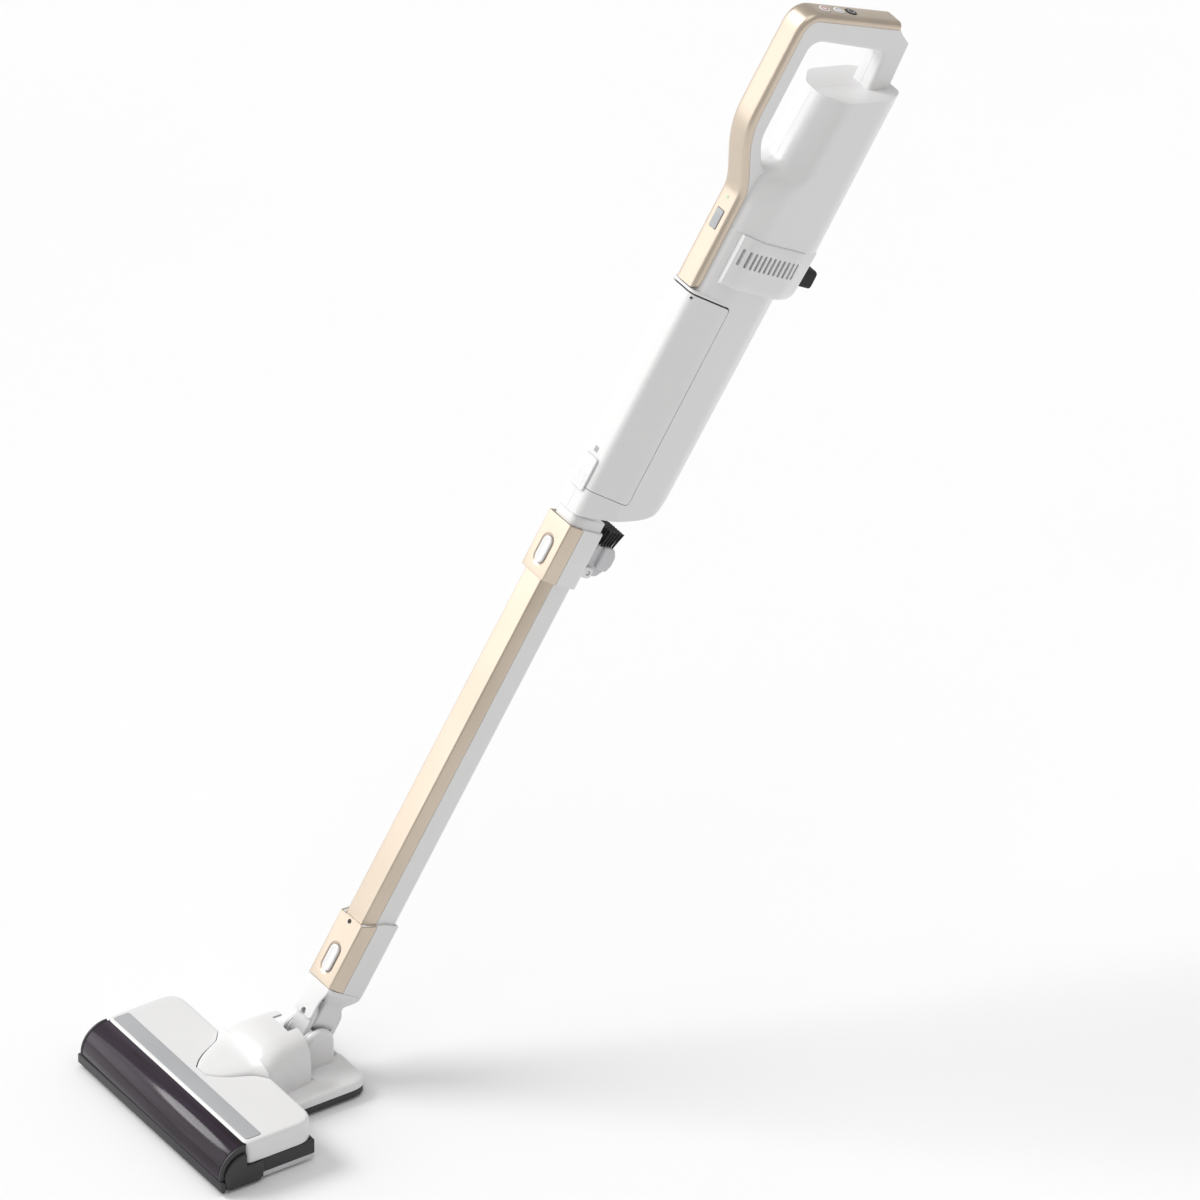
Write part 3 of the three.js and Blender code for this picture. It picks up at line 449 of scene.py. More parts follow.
def head():
    outline = cover_outline()
    edge = 3.5
    turns = [math.pi / 2 * i / 6 for i in range(7)]
    levels = [(COVER_EDGE, 0.5), (COVER_EDGE + 0.5, 0)]
    levels += [(COVER_TOP - edge + edge * math.sin(t), edge * (1 - math.cos(t))) for t in turns]
    outside = stack(outline, levels, "z")
    inside = stack(outline, [(COVER_EDGE - 2, WALL), (39, WALL), (COVER_TOP - 1.6, WALL + 3)], "z")
    opening = block((-109.9, 109.9), (-140, -117.5), (COVER_EDGE - 2, 42.3))
    notch = dome([(y - EDGE_GAP, half, top) for y, half, top in DOME[4:]], 10, 40, 0.35)
    raised = dome([(y - EDGE_GAP, half, top + 25) for y, half, top in DOME[4:]], 38, 60, 0.35)
    foot = block((-41.9, 41.9), (-66.6, -60), (10, 60))
    seat = bar(rectangle(-107.3, 107.3, -131.7, -115.7, 3), (43.4, 50), "z", 0)
    cover = cut(outside, inside, opening, notch, raised, foot, seat)
    piece("head_cover_finished", cover, HEAD, "head_cover")
    strip = bar(rectangle(*STRIP[0], *STRIP[1], 2.7, 5), (43.5, 44.5), "z", 0.35)
    piece("trim_strip_finished", strip, HEAD, "trim_strip")

    tail = rectangle(-57, 57, -64.5, 27, 17, 8)
    turns = [math.pi / 2 * i / 5 for i in range(6)]
    tail_levels = [(9.8, 0.4), (10.2, 0), (13.5, 0)]
    tail_levels += [(13.5 + 4 * math.sin(t), 5 * (1 - math.cos(t))) for t in turns[1:]]
    plate = cut(stack(tail, tail_levels, "z"), stack(tail, [(9, WALL), (15, WALL + 1.5)], "z"))
    wide = dome(DOME[:5], 12, 26)
    nose = dome(DOME[4:], 39.5, 40.5)
    hollow = dome([(y, half - WALL, top - WALL) for y, half, top in [(-16, 35, 62), *DOME[:5]]], 8, 24)
    sides = []
    for sign in (-1, 1):
        hub = arc(HUB, 15.6, 0, 180, 36) + [Vector((-15.6, 14)), Vector((15.6, 14))]
        levels = [(sign * along, d) for along, d in rounded_ends(8, 20, 4.5, 6) if along > 14]
        sides.append(stack(hub, [(sign * HUB_HALF, 0), *levels], "x"))
    shell = join(cut(join(plate, wide), hollow), nose, *sides)
    room = rod("x", (-HUB_HALF, HUB_HALF), 16.3, HUB, 0)
    ears = rod("x", (-12.5, 12.5), 37.6, HUB, 0)
    slot = rod("x", (-20.5, 20.5), 23.4, HUB, 0)
    axle = rod("x", (-18.8, 18.8), 5.4, HUB, 0)
    above = block((-HUB_HALF, HUB_HALF), (-18, 40), (17.6, 90))
    shell = cut(shell, room, ears, axle, above, keep(slot, block((-14.2, 14.2), (2, 30), (9, 30))))
    piece("duct_cover_finished", shell, HEAD, "duct_cover")

    glass = [Vector((-162, 14.3))] + arc(CHAMBER, 25, 180, 85, 30) + arc(CHAMBER, 23.2, 85, 180, 30)
    glass.append(Vector((-160.2, 14.3)))
    piece("brush_window_finished", bar(glass[::-1], (-109.4, 109.4), "x", 0.3, 2), HEAD, "brush_window")

    for word, sign in (("left", -1), ("right", 1)):
        ring = cut(rod("x", mirrored(sign, 109.8, 112.6), 25.3, CHAMBER, 0.8, 72),
                   rod("x", mirrored(sign, 111.6, 114), 21.5, CHAMBER, 0, 72))
        disc = rod("x", mirrored(sign, 110.5, 114.9), 20.2, (-138, 14.6), 1.4, 72)
        below = block((-120, 120), (-170, -100), (-20, 3.3))
        front = block((-120, 120), (-170, -157.7), (-20, 14.3))
        rear = block((-120, 120), (-118.3, -100), (-20, 60))
        top = block((-120, 120), (COVER_FRONT - EDGE_GAP, -100), (COVER_EDGE - EDGE_GAP, 60))
        cap = cut(join(ring, disc), below, front, rear, top)
        piece(f"end_cap_{word}_finished", cap, HEAD, f"end_cap_{word}")


SLEEVE = {"outer": 9, "bore": 7.9}
ROLL_TUFTS = 58  # places along each row, with three tufts at each
TUFT_REACH = 18.2
ACROSS = Vector((1, 0, 0))


def brush_roll():
    """Tufts in two rows wound half a turn along a sleeve."""
    centre = Vector(JOINTS["brush_spin"]["pos_m"]) * 1000
    axis = (centre.y, centre.z)
    low, high = local_box("brush_bristles", HEAD)[0]
    sleeve = rod("x", (low, high), SLEEVE["outer"], axis, 0.5, 40)
    parts = [cut(sleeve, rod("x", (low - 5, high + 5), SLEEVE["bore"], axis, 0, 40))]

    def spoke(x, reach, turn):
        return Vector((x, centre.y + reach * math.cos(turn), centre.z + reach * math.sin(turn)))

    for row in range(2):
        for i in range(ROLL_TUFTS):
            share = i / (ROLL_TUFTS - 1)
            x = low + 2.5 + (high - low - 5) * i / (ROLL_TUFTS - 1)
            for k in range(-1, 2):
                turn = math.pi * (share + row) + math.radians(6 * k)
                root = spoke(x, SLEEVE["outer"] - 0.4, turn)
                reach = TUFT_REACH - 0.5 * ((i * 7 + k * 3) % 4) / 3
                tip = spoke(x + 0.9 * k, reach, turn + math.radians(3 * k))
                side = (tip - root).normalized().cross(ACROSS).normalized()
                parts.append(tuft(root, tip, side, ACROSS, ((0, 0.75), (0.6, 0.95), (1, 1.15)), 6))
    piece("brush_bristles_finished", together(parts), HEAD, "brush_bristles")


# ---- Neck, wand and collars ----
def faceted(front, facet, half, depth):
    """A square tube's section whose front corners are cut off as facets."""
    return [(-front, -depth), (front, -depth), (half, -facet),
            (half, depth), (-half, depth), (-half, -facet)]


WAND = faceted(12, 6, 17, 17)
COLLAR = faceted(16.5, 6, 19.8, 19.8)
FACING = 1.4  # how thick a gilded facing is
PIN_HOLE = 2.3
TUBE_SIDE = (-30, 30)  # a span wider than any part of the wand or neck


def facing_outline(section):
    """The gilded front and both facets, as a thin closed outline."""
    outer = [Vector(section[i]) for i in (5, 0, 1, 2)]
    shell = inset(section, FACING)
    inner = [Vector((shell[2].x, -6)), shell[1], shell[0], Vector((shell[5].x, -6))]
    return fillet([tuple(p) for p in outer + inner], [0.5, 1.6, 1.6, 0.5, 0, 0.5, 0.5, 0], 5)


def core_outline(section, radius):
    """The section without its gilded facing."""
    half = section[2][0]
    depth = section[3][1]
    under = inset(section, FACING + 0.3)
    corners = [(half, -5.7), (half, depth), (-half, depth), (-half, -5.7), (under[5].x, -5.7),
               tuple(under[0]), tuple(under[1]), (under[2].x, -5.7)]
    return fillet(corners, [0.5, radius, radius, 0.5, 0, 0.5, 0.5, 0], 8)


def stadium(half, low, high, steps=12):
    """An upright slot with round ends, as x and z."""
    return arc((0, low + half), half, 180, 360, steps) + arc((0, high - half), half, 0, 180, steps)


def collar(name, top_curve):
    low, high = local_box(f"{name}_collar")[2]
    b_low, b_high = local_box(f"{name}_button")[2]
    window = stadium(8.5, b_low - 0.5, b_high + 0.5)
    hole = prism(window, (-30, -10), "y")
    shell = bar(core_outline(COLLAR, 6.5), (low, high), "z", 0.35)
    latch = local_box(f"{name}_latch")
    room = block((-18, 18), (-18.4, 18.8), (latch[2][0] - 0.4, latch[2][1] + 0.4))
    tools = [rod("z", (low - 1, low + 42), 15.5, edge=0), rod("z", (low, high + 2), 12.8, edge=0),
             prism(fillet(inset(WAND, -0.3), 1, 2), (low + 44.5, high + 2), "z"), hole, room]
    front = bar(facing_outline(COLLAR), (low, high), "z", 0.5)
    if top_curve:
        # The collar's top edge dips towards the front.
        dip = fillet([(-30, high - 9), (-17, high - 9), (2, high + 0.01), (30, high + 0.01),
                      (30, high + 9), (-30, high + 9)], [0, 8, 10, 0, 0, 0], 8)
        tools.append(prism(dip, TUBE_SIDE, "x"))
        front = cut(front, prism(dip, TUBE_SIDE, "x"))
    shell = cut(shell, *tools)
    if name == "upper":
        pin = joint_place("brush_flip")
        ear = fillet([(16, pin.z - 5), (pin.y + 5, pin.z - 5), (pin.y + 5, pin.z + 5), (16, pin.z + 5)],
                     [0, 5, 5, 0], 8)
        for sign in (-1, 1):
            shell = join(shell, cut(bar(ear, mirrored(sign, 14, 17.5), "x", 0.6),
                                    rod("x", TUBE_SIDE, PIN_HOLE, (pin.y, pin.z), 0)))
    piece(f"{name}_collar_finished", shell, STICK, f"{name}_collar")
    key = stadium(5.6, b_low + 1.6, b_high - 1.6)
    dish = stack(inset(key, -0.4), [(-30, -2.4), (-19.7, -2.4), (-19.0, -0.7), (-18.7, 0), (-10, 0)], "y")
    piece(f"{name}_collar_facing_finished", cut(front, dish), STICK, f"{name}_collar_facing")
    button = local_box(f"{name}_button")[1]
    levels = [(button[1], 0), (button[0] + 1.0, 0), (button[0] + 0.45, 0.25), (button[0] + 0.1, 0.9),
              (button[0], 1.7), (button[0] + 0.25, 2.6), (button[0] + 0.5, 4.5)]
    piece(f"{name}_button_finished", stack(key, levels, "y"), STICK, f"{name}_button")


def wand():
    low, high = local_box("wand_facing")[2]
    whole = local_box("wand_tube")[2]
    tube = join(bar(core_outline(WAND, 6), (whole[0], high), "z", 0.3),
                rod("z", (high - 1, whole[1]), 15, edge=1.0))
    inside = prism(inset(WAND, FACING + 1.9), (whole[0] - 5, high - 4), "z")
    tube = cut(tube, inside, rod("z", (high - 6, whole[1] + 3), 12.6, edge=0))
    piece("wand_tube_finished", tube, STICK, "wand_tube")
    piece("wand_facing_finished", bar(facing_outline(WAND), (low - 14, high), "z", 0.3), STICK, "wand_facing")


def brush_tool():
    back = local_box("brush_holder")
    y0, z0 = back[1][0], back[2][0]
    profile = fillet([(y0 + 1, z0), (y0 + 17, z0), (y0 + 24.5, z0 + 9), (y0 + 24.5, z0 + 23),
                      (y0 + 19, z0 + 29.5), (y0 + 2.5, z0 + 29.5), (y0, z0 + 20)], 3, 5)
    pin = joint_place("brush_flip")
    holder = cut(bar(profile, (-13.5, 13.5), "x", 1.2), rod("x", TUBE_SIDE, PIN_HOLE, (pin.y, pin.z), 0))
    wide = fillet([(30.5, z0 + 9), (43, z0 + 7.5), (y0 + 24.5, z0 + 14), (y0 + 24.5, z0 + 23),
                   (41, z0 + 30), (30.5, z0 + 30)], 2.4, 5)
    holder = join(holder, bar(wide, (-17.5, 17.5), "x", 1.4))
    piece("brush_holder_finished", holder, STICK, "brush_holder")
    tufts = []
    columns, rows = 9, 5
    for i in range(columns):
        for j in range(rows):
            x = -14 + 28 * i / (columns - 1)
            y = y0 + 5.5 + 3.1 * j
            fan = (j - 1.5) * 1.7
            root, tip = Vector((x, y, z0 + 29.0)), Vector((x * 1.05, y + 2.5 + fan * 0.3, z0 + 44.5))
            tufts.append(tuft(root, tip, ACROSS, Vector((0, 1, 0)), ((0, 0.9), (0.5, 1.15), (1, 1.45)), 7))
    piece("tool_bristles_finished", together(tufts), STICK, "tool_bristles")


TILT_RISE = 22  # from the pitch axis up to the tilt axis
TILT_HOLE = 3.3


def neck():
    tilt = TILT_RISE
    drum = join(rod("x", (-14, 14), 15.5, (0, 0), 1.2, 64), rod("x", (-18.4, 18.4), 5, (0, 0), 0.6))
    drum = cut(drum, block((-40, 40), (-11.2, 11.2), (8, 40)))
    ear = fillet([(-10.5, 0), (10.5, 0), (10.5, tilt + 10.5), (-10.5, tilt + 10.5)], [0, 0, 10.5, 10.5], 12)
    drum = join(drum, bar(ear, (-16.5, -11.2), "y", 0.8), bar(ear, (11.2, 16.5), "y", 0.8))
    drum = cut(drum, rod("y", TUBE_SIDE, TILT_HOLE, (0, tilt), 0), rod("z", (-30, 10), 9, edge=0))
    piece("neck_drum_finished", drum, STICK, "neck_drum")

    half = 10.8
    low = fillet([(-12, tilt - 12), (12, tilt - 12), (12, 44), (-12, 44)], [12, 12, 0, 0], 14)
    knuckle = bar(low, (-half, half), "y", 1.2)
    flare = []
    for k in range(13):
        t = k / 12
        ease = t * t * (3 - 2 * t)
        x, y = 12.5 + 6.8 * ease, half + 8.6 * ease
        ring = fillet([(-x, -y), (x, -y), (x, y), (-x, y)], 4 + 2 * ease, 6)
        flare.append([Vector((p.x, p.y, 34 + 16.5 * t)) for p in ring])
    flare.append([Vector((p.x, p.y, 52.3)) for p in ring])
    front = fillet([(-12.2, 19), (12.2, 19), (12.2, 37), (16.4, 49), (16.4, 52.3), (-16.4, 52.3),
                    (-16.4, 49), (-12.2, 37)], [4, 4, 4, 4, 1, 1, 4, 4], 6)
    pipe = join(knuckle, skin(flare), rod("z", (52, 92.6), 15, edge=1), bar(front, (-19.6, -17.4), "y", 0.7))
    pin = join(rod("y", (-16.9, 17.2), 3, (0, tilt), 0.5), rod("y", (16.8, 18.4), 5, (0, tilt), 0.6))
    piece("neck_tilt_pin_finished", pin, STICK, "neck_tilt_pin")
    pipe = cut(pipe, rod("y", TUBE_SIDE, TILT_HOLE, (0, tilt), 0), rod("z", (0, 41), 8, edge=0),
               rod("z", (40, 100), 12.4, edge=0))
    piece("neck_pipe_finished", pipe, STICK, "neck_pipe")


# ---- Handheld body ----
BODY_FOOT = 528
BODY_BACK_FOOT = 550
ROOF = (0, 12, 953)  # the front of the body's sloping top
ROOF_TILT = math.radians(17)
SHOULDER = 817
DOOR = {"bottom": 553, "top": 749, "rear": 17}
GRIP_HALF = 13.6
TRIM = 2  # how thick the gilded strip is
TRIM_SIDE = 6.4  # how far it reaches round the grip's sides
BODY_SIDE = (-60, 60)  # spans wider than the body, across it and from front to back
BODY_DEPTH = (-60, 120)
STRIP_FRONT = (-24, -14.5)
TOP_BAR = [Vector((-30, 1023.5)), Vector((59, 1034))]


def octagon(front, front_half, slant, half, corner, back, back_half):
    """The body's section, from its front face to its back."""
    return [(-front_half, front), (front_half, front), (half, slant), (half, corner),
            (back_half, back), (-back_half, back), (-half, corner), (-half, slant)]


DUST_FRONT = -18.8
DUST_BACK = {"foot": 66, "top": 69.8}


def dust_section(back):
    return octagon(DUST_FRONT, 15, 12, 30, 52, back, 19)


VENT_CORE = octagon(-12.3, 17, 12, 30, 52, DUST_BACK["top"], 19)
UPPER = [  # z, front, half the front's width, where the slanted facet ends
    (SHOULDER, -12, 17, 10), (862, -12, 17, 12), (869, -9.5, 16, 14), (876, -2, 14, 20), (882, 5, 13, 24),
    (888, 9, 12, 26), (966, 12, 12, 28), (984, 14, 12, 30),
]


def lofted(levels):
    """A closed mesh over outlines at their heights."""
    return skin([[Vector((p.x, p.y, z)) for p in ring] for z, ring in levels])


def dust_body(d):
    """The lower body, moved inwards by d."""
    ends = ((524, DUST_BACK["foot"]), (753, DUST_BACK["top"]))
    return lofted([(z, fillet(inset(dust_section(back), d), 6)) for z, back in ends])


def upper_body(d):
    """The body above the vents, moved inwards by d."""
    levels = []
    for z, front, front_half, slant in UPPER:
        section = octagon(front, front_half, slant, 33, 70, 87.5, 21)
        levels.append((z, fillet(inset(section, d), 7)))
    return lofted(levels)


def bezier(a, b, c, d, steps):
    """Points on the cubic curve from a to d, without a itself."""
    made = []
    for k in range(1, steps + 1):
        t = k / steps
        made.append(a * (1 - t) ** 3 + b * 3 * t * (1 - t) ** 2 + c * 3 * t * t * (1 - t) + d * t ** 3)
    return made


def handle_line():
    """The handle's outer line: up the body's front, out to the grip and over the top."""
    start = [Vector((-19, 754)), Vector((-19, 842))]
    out = bezier(start[1], Vector((-19, 862)), Vector((-48.5, 884)), Vector((-48.5, 922)), 18)
    up = [Vector((-48.5, 1000))]
    over = bezier(up[0], Vector((-48.5, 1012)), Vector((-43, 1021.9)), TOP_BAR[0], 14)
    return start + out + up + over + [TOP_BAR[1]]


def bend(corner, steps=7):
    """Points on the curve that leaves for the middle of three points and arrives from it."""
    a, b, c = [Vector(p) for p in corner]
    turns = [k / steps for k in range(steps + 1)]
    return [a * (1 - t) ** 2 + b * 2 * t * (1 - t) + c * t * t for t in turns]


def moved_in(line, d):
    """The line moved towards the body by d."""
    made = []
    for i, point in enumerate(line):
        along = (line[min(i + 1, len(line) - 1)] - line[max(i - 1, 0)]).normalized()
        made.append(point + Vector((along.y, -along.x)) * d)
    return made


GRIP_HOLE = fillet([(-26, 900), (-8, 872), (20, 880), (60, 960), (58, 997), (55, 1004.5),
                    (-19, 998.5), (-26, 991)], [9, 9, 12, 9, 4.6, 6, 6, 5], 6)
LOOP_REAR = [Vector(p) for p in ((76, 1018), (80, 960), (-5, 850), (5, 754))]
TOP_TILT = math.atan2(TOP_BAR[1].y - TOP_BAR[0].y, TOP_BAR[1].x - TOP_BAR[0].x)
POWER = {"off": -4, "standard": 10, "strong": -20}  # each button's y on the top bar


def top_place(y):
    """Where the top bar's face is at y, square to it."""
    z = TOP_BAR[0].y + (y - TOP_BAR[0].x) * math.tan(TOP_TILT)
    return Matrix.Translation((0, y, z)) @ Matrix.Rotation(TOP_TILT, 4, "X")


def top_plug(y, radius, span, edge=0.0):
    mesh = rod("z", span, radius, edge=edge, steps=40)
    mesh.transform(top_place(y))
    return mesh


def tilted_block(angle, corner, z):
    """A large block turned about X, with its base through the corner."""
    mesh = block(BODY_SIDE, BODY_DEPTH, z)
    mesh.transform(Matrix.Translation(corner) @ Matrix.Rotation(angle, 4, "X"))
    return mesh


def body():
    line = handle_line()

    def region(d):
        return (moved_in(line, d) + LOOP_REAR)[::-1]

    under = TRIM + 0.3
    side = TRIM_SIDE + 0.3
    loop = join(stack(region(under), rounded_ends(under - GRIP_HALF, GRIP_HALF - under, 4.2, 4), "x"),
                prism(region(side), (-GRIP_HALF, GRIP_HALF), "x"))
    loop = cut(loop, stack(GRIP_HOLE, flared_ends(-GRIP_HALF, GRIP_HALF, 4.5, 5), "x"))

    slope = math.atan2(BODY_BACK_FOOT - BODY_FOOT, DUST_BACK["foot"] - DUST_FRONT)
    foot = [(-40, BODY_FOOT - (DUST_FRONT + 40) * math.tan(slope)), (67, BODY_BACK_FOOT + 0.3),
            (72, 760), (-40, 760)]
    profile = fillet(foot, [0, 38, 0, 0], 14)
    roof = tilted_block(ROOF_TILT, ROOF, (0, 60))
    core = prism(fillet(VENT_CORE, 6), (752, SHOULDER + 1), "z")
    outside = join(keep(dust_body(0), prism(profile, BODY_SIDE, "x")), core, cut(upper_body(0), roof), loop)
    dust_room = cut(keep(dust_body(WALL), prism(inset(profile, WALL + 0.3), BODY_SIDE, "x")),
                    block(BODY_SIDE, BODY_DEPTH, (DOOR["top"] + 2, 900)))
    vent_room = cut(prism(fillet(inset(VENT_CORE, WALL), 5), (752, SHOULDER - 2), "z"),
                    block(BODY_SIDE, BODY_DEPTH, (764, 767)))
    upper_room = cut(upper_body(WALL), tilted_block(ROOF_TILT, (0, 12, ROOF[2] - WALL), (0, 60)),
                     block(BODY_SIDE, BODY_DEPTH, (700, SHOULDER + WALL)))
    doorway = prism(rectangle(-60, DOOR["rear"] + 0.35, DOOR["bottom"] - 0.3, DOOR["top"] + 1.6, 4.5),
                    BODY_SIDE, "x")
    switch = local_box("brush_switch")
    tools = [dust_room, vent_room, upper_room, doorway,
             rod("z", (SHOULDER - 4, 830), 23.6, (0, 28), 0), rod("z", (760, 775), 14, (0, 28), 0),
             block((-14, 14), (-6, 50), (745, 755)), rod("z", (500, 580), 15.4, edge=0),
             block((-60, -24), (2, 52), (789, 807)), block((24, 60), (2, 52), (789, 807)),
             block((switch[0][0] - 0.5, switch[0][1] + 0.5), STRIP_FRONT,
                   (switch[2][0] - 0.5, switch[2][1] + 0.5))]
    tools += [top_plug(y, 5.9, (-5, 8)) for y in POWER.values()]
    whole = cut(outside, *tools)
    for word, sign in (("left", -1), ("right", 1)):
        half = keep(whole.copy(), block(mirrored(sign, 0.1, 80), (-100, 150), (400, 1200)))
        piece(f"body_shell_{word}_finished", half, STICK, f"body_shell_{word}")
    gilded_strip(line, switch)


def gilded_strip(line, switch):
    """A channel drawn along the handle's line, with holes for its buttons and switch."""
    g = GRIP_HALF
    outer_bend = [(g, TRIM_SIDE - 0.6), (g, 0), (g - 6.5, 0)]
    inner_bend = [(g - TRIM, TRIM_SIDE - 0.2), (g - TRIM, TRIM), (g - TRIM - 5, TRIM)]
    right = [Vector((g - TRIM, TRIM_SIDE)), Vector((g, TRIM_SIDE))]
    right = bend(inner_bend)[::-1] + right + bend(outer_bend)
    channel = right + [Vector((-p.x, p.y)) for p in right[::-1]]
    rings = []
    dense = []
    for a, b in zip(line, line[1:]):
        parts = max(1, round((b - a).length / 12))
        dense += [a.lerp(b, i / parts) for i in range(parts)]
    dense.append(line[-1])
    offsets = {d: moved_in(dense, d) for d in (0, 1)}
    for i in range(len(dense)):
        inwards = offsets[1][i] - offsets[0][i]
        rings.append([Vector((p.x, *(offsets[0][i] + inwards * p.y))) for p in channel])
    strip = skin(rings)
    holes = [top_plug(y, 5.8, (-5, 8)) for y in POWER.values()]
    holes.append(prism(rectangle(switch[0][0] - 0.4, switch[0][1] + 0.4,
                                 switch[2][0] - 0.4, switch[2][1] + 0.4, 1.4), STRIP_FRONT, "y"))
    for sign in (-1, 1):  # the lower end's two corners
        corner = [(sign * (g + 2), 753), (sign * (g - 6), 753)]
        corner += bend([(sign * (g - 6), 754), (sign * g, 754), (sign * g, 760)])
        corner.append((sign * (g + 2), 760))
        holes.append(prism([Vector(p) for p in corner][::sign * -1], (-24, -10), "y"))
    piece("handle_strip_finished", cut(strip, *holes), STICK, "handle_strip")


VENTS = {"count": 12, "first": -1, "pitch": 5.6, "width": 2.8, "low": 790, "high": 806}


def vent_band():
    levels = []
    for z, half, back, d in ((768.3, 32, 82, 1.2), (769.2, 32.4, 83.2, 0), (772, 33.7, 86, 0),
                             (776, 34.2, 88, 0), (815, 34.6, 90, 0), (816.2, 34.6, 90, 0.5),
                             (816.7, 34.6, 90, 1.3)):
        levels.append((z, fillet(inset(octagon(-15, 17, 6, half, 60, back, 21), d), 7)))
    band = lofted(levels)
    arm = bar(rectangle(-6, 6, 779, 792, 2), (84, 100), "y", 0.6)
    band = join(band, arm)
    inner = prism(fillet(inset(VENT_CORE, -0.3), 6), (760, 830), "z")
    front = block(BODY_SIDE, (-60, -4), (700, 900))
    band = cut(band, inner, front)
    slots = []
    for i in range(VENTS["count"]):
        y = VENTS["first"] + VENTS["pitch"] * i
        outline = rectangle(y, y + VENTS["width"], VENTS["low"], VENTS["high"], 1.35, 5)
        slots.append(prism(outline, BODY_SIDE, "x"))
    band = cut(band, together(slots))
    piece("vent_band_finished", band, STICK, "vent_band")
    for word, sign in (("left", -1), ("right", 1)):
        screen = bar(rectangle(2.6, 51.6, VENTS["low"] - 0.4, VENTS["high"] + 0.4, 2),
                     mirrored(sign, 25, 29.6), "x", 0.4)
        piece(f"vent_screen_{word}", screen, STICK, f"body_shell_{word}", material=MATERIALS["foam"],
              stands_for=False)
    pad = cut(bar(rectangle(-8, 8, 777, 794, 4), (94, 114), "y", 1.6),
              block((-6.3, 6.3), (80, 100.3), (778.7, 792.3)))
    piece("lean_bumper_finished", pad, STICK, "lean_bumper")


def dust_door():
    within = prism(rectangle(-60, DOOR["rear"] - 0.35, DOOR["bottom"] + 0.3, DOOR["top"], 4),
                   BODY_SIDE, "x")
    door = keep(cut(dust_body(0), dust_body(2)), within)
    pin = joint_place("door_swing")
    knuckle = rod("x", (-7, 7), 2.6, (pin.y, pin.z), 0.3)
    slot = block((-5.5, 5.5), (-30, -10), (562, 574))
    door = cut(join(door, knuckle), rod("x", (-40, 40), 1.5, (pin.y, pin.z), 0), slot)
    piece("dust_door_finished", door, STICK, "dust_door")
    box = local_box("door_latch")
    tab = bar(rectangle(*box[0], *box[2], 2.5), (box[1][0], box[1][0] + 2.1), "y", 0.7)
    ribs = [bar(rectangle(-6, 6, DOOR["bottom"] + 3 * i, DOOR["bottom"] + 1.4 + 3 * i, 0.5),
                (box[1][0] - 0.3, box[1][0] + 1), "y", 0.3) for i in range(4)]
    hook = block((-5, 5), (-19.8, -14), (562.6, 568.6))
    piece("door_latch_finished", join(tab, hook, *ribs), STICK, "door_latch")
    mark = bar(rectangle(-2.6, 2.6, 584, 589, 0.8), (-19.05, -18.5), "y", 0.15)
    piece("door_mark", mark, STICK, "dust_door", material=MATERIALS["grey_plastic"], stands_for=False)


def dust_bag():
    """A paper bag with folded sides."""
    low, high = local_box("dust_bag")[2]
    section = inset(dust_section(DUST_BACK["foot"]), 6.5)
    centre = Vector((0, 22))
    rings = []
    levels = 40
    for k in range(levels + 1):
        t = k / levels
        swell = math.sin(math.pi * t) ** 0.35
        ring = fillet(inset(section, 7 - 6 * swell), 9, 8)
        z = low + (high - low) * t
        made = []
        for i, p in enumerate(ring):
            fold = 0.45 * math.sin(i * 1.9 + 3 * t) + 0.35 * math.sin(22 * t + 0.7 * i)
            away = (p - centre).normalized()
            flat = p - away * (0.5 + fold * 0.6)
            made.append(Vector((flat.x, flat.y, z)))
        rings.append(made)
    piece("dust_bag_finished", skin(rings), STICK, "dust_bag")


# Node, x, z and the y of the face that the screw sits in; the neck pipe's front cover hides its screw.
SCREWS = [("lower_collar_facing", 0, 112, -19.9), ("neck_pipe", 9, 40, -14.6)]


def controls():
    for name, y in POWER.items():
        levels = [(-3, 0), (0.25, 0), (0.55, 0.35), (0.7, 0.9), (0.55, 2.2)]
        mesh = stack(circle(5.4, steps=40), levels, "z")
        mesh.transform(top_place(y))
        dark = MATERIALS["dark_plastic"] if name == "standard" else None
        piece(f"{name}_button_finished", mesh, STICK, f"{name}_button", material=dark)
        ring = cut(rod("z", (0.3, 0.75), 3.4, edge=0.1), rod("z", (-1, 2), 2.6, edge=0))
        ring.transform(top_place(y))
        tint = RED_RING if name == "strong" else MATERIALS["grey_plastic"]
        piece(f"{name}_button_ring", ring, STICK, f"{name}_button", material=tint, stands_for=False)
    box = local_box("brush_switch")
    key = bar(rectangle(*box[0], *box[2], 1.2), box[1], "y", 0.6)
    ribs = [bar(rectangle(-3.2, 3.2, 812 + 2.6 * i, 813 + 2.6 * i, 0.4),
                (box[1][0] - 0.25, box[1][0] + 1), "y", 0.2) for i in range(4)]
    piece("brush_switch_finished", join(key, *ribs), STICK, "brush_switch")
    led = rod("y", (-19.25, -18.4), 1.5, (0, 838), 0.3)
    piece("indicator_lens", led, STICK, "handle_strip", material=LED_GREEN, stands_for=False)
    for node, x, z, face in SCREWS:
        screw = cut(rod("y", (face - 0.35, face + 0.6), 2.1, (x, z), 0.25),
                    block((x - 0.35, x + 0.35), (face - 2, face - 0.05), (z - 1.3, z + 1.3)),
                    block((x - 1.3, x + 1.3), (face - 2, face - 0.05), (z - 0.35, z + 0.35)))
        piece(f"{node}_screw", screw, STICK, node, material=MATERIALS["dark_plastic"], stands_for=False)


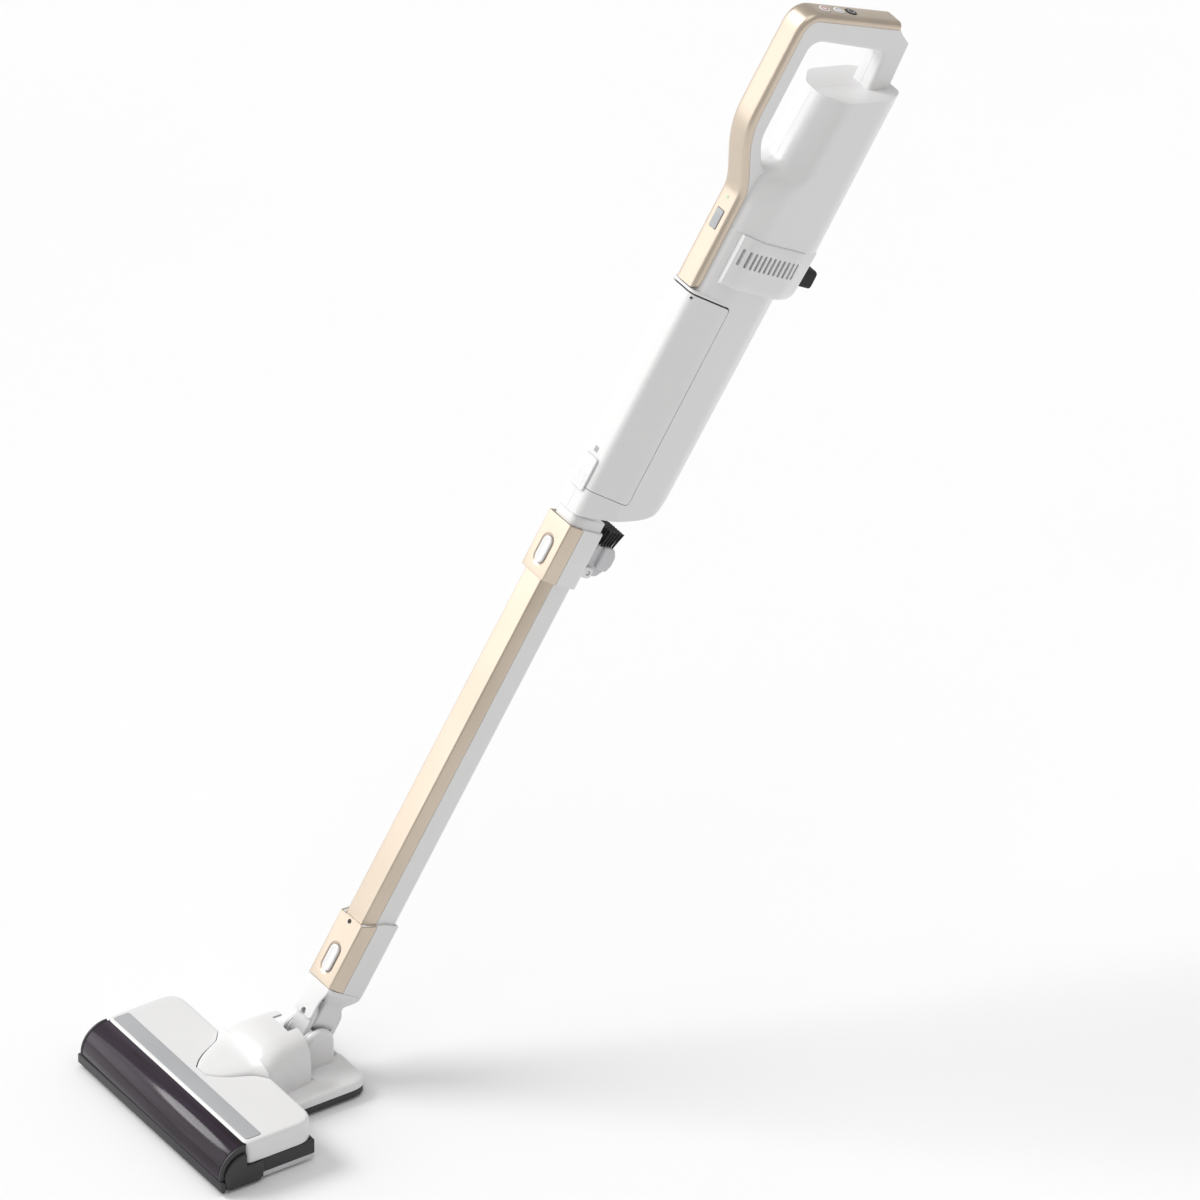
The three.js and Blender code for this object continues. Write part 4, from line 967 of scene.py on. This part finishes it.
# ---- Stage, light and camera ----
def stage():
    work = bmesh.new()
    bmesh.ops.create_grid(work, x_segments=8, y_segments=8, size=60)
    mesh = bpy.data.meshes.new("floor")
    work.to_mesh(mesh)
    work.free()
    mesh.materials.append(surface("floor", (0.93, 0.93, 0.935), 0.9, vary=0.004, cloud=2, bump=0.0))
    floor = bpy.data.objects.new("floor", mesh)
    bpy.context.scene.collection.objects.link(floor)


def sun(name, strength, width, towards):
    light = bpy.data.lights.new(name, "SUN")
    light.energy = strength
    light.angle = math.radians(width)
    thing = bpy.data.objects.new(name, light)
    thing.rotation_mode = "QUATERNION"
    thing.rotation_quaternion = Vector(towards).to_track_quat("-Z", "Y")
    bpy.context.scene.collection.objects.link(thing)


def lights():
    world = bpy.data.worlds.new("studio")
    bpy.context.scene.world = world
    world.use_nodes = True
    background = world.node_tree.nodes["Background"]
    background.inputs["Color"].default_value = (1, 0.995, 0.985, 1)
    background.inputs["Strength"].default_value = 0.46
    sun("key", 1.3, 24, (0.75, 0.55, -1.0))
    sun("top", 0.6, 50, (-0.1, -0.1, -1.0))
    sun("front", 1.15, 60, (0.69, 0.71, -0.3))


AZIMUTH = math.radians(57)
ELEVATION = math.radians(35)
LENS = 1040.4
DISTANCE = 30
AIM = (0.2525, 0.3772)  # the frame's middle from the neck's pivot, to the right and up the view


def camera():
    away = Vector((math.sin(AZIMUTH) * math.cos(ELEVATION), -math.cos(AZIMUTH) * math.cos(ELEVATION),
                   math.sin(ELEVATION)))
    right = Vector((math.cos(AZIMUTH), math.sin(AZIMUTH), 0))
    up = away.cross(right)
    data = bpy.data.cameras.new("camera")
    data.sensor_width = 36
    data.lens = LENS
    data.clip_end = 200
    data.dof.use_dof = False
    thing = bpy.data.objects.new("camera", data)
    thing.location = PIVOT + AIM[0] * right + AIM[1] * up + away * DISTANCE
    thing.rotation_mode = "QUATERNION"
    thing.rotation_quaternion = Matrix((right, up, away)).transposed().to_quaternion()
    bpy.context.scene.collection.objects.link(thing)
    bpy.context.scene.camera = thing
    bpy.context.scene.view_settings.view_transform = "Standard"


camera()
lights()
stage()
head()
brush_roll()
neck()
collar("lower", True)
collar("upper", False)
wand()
brush_tool()
body()
vent_band()
dust_door()
dust_bag()
controls()
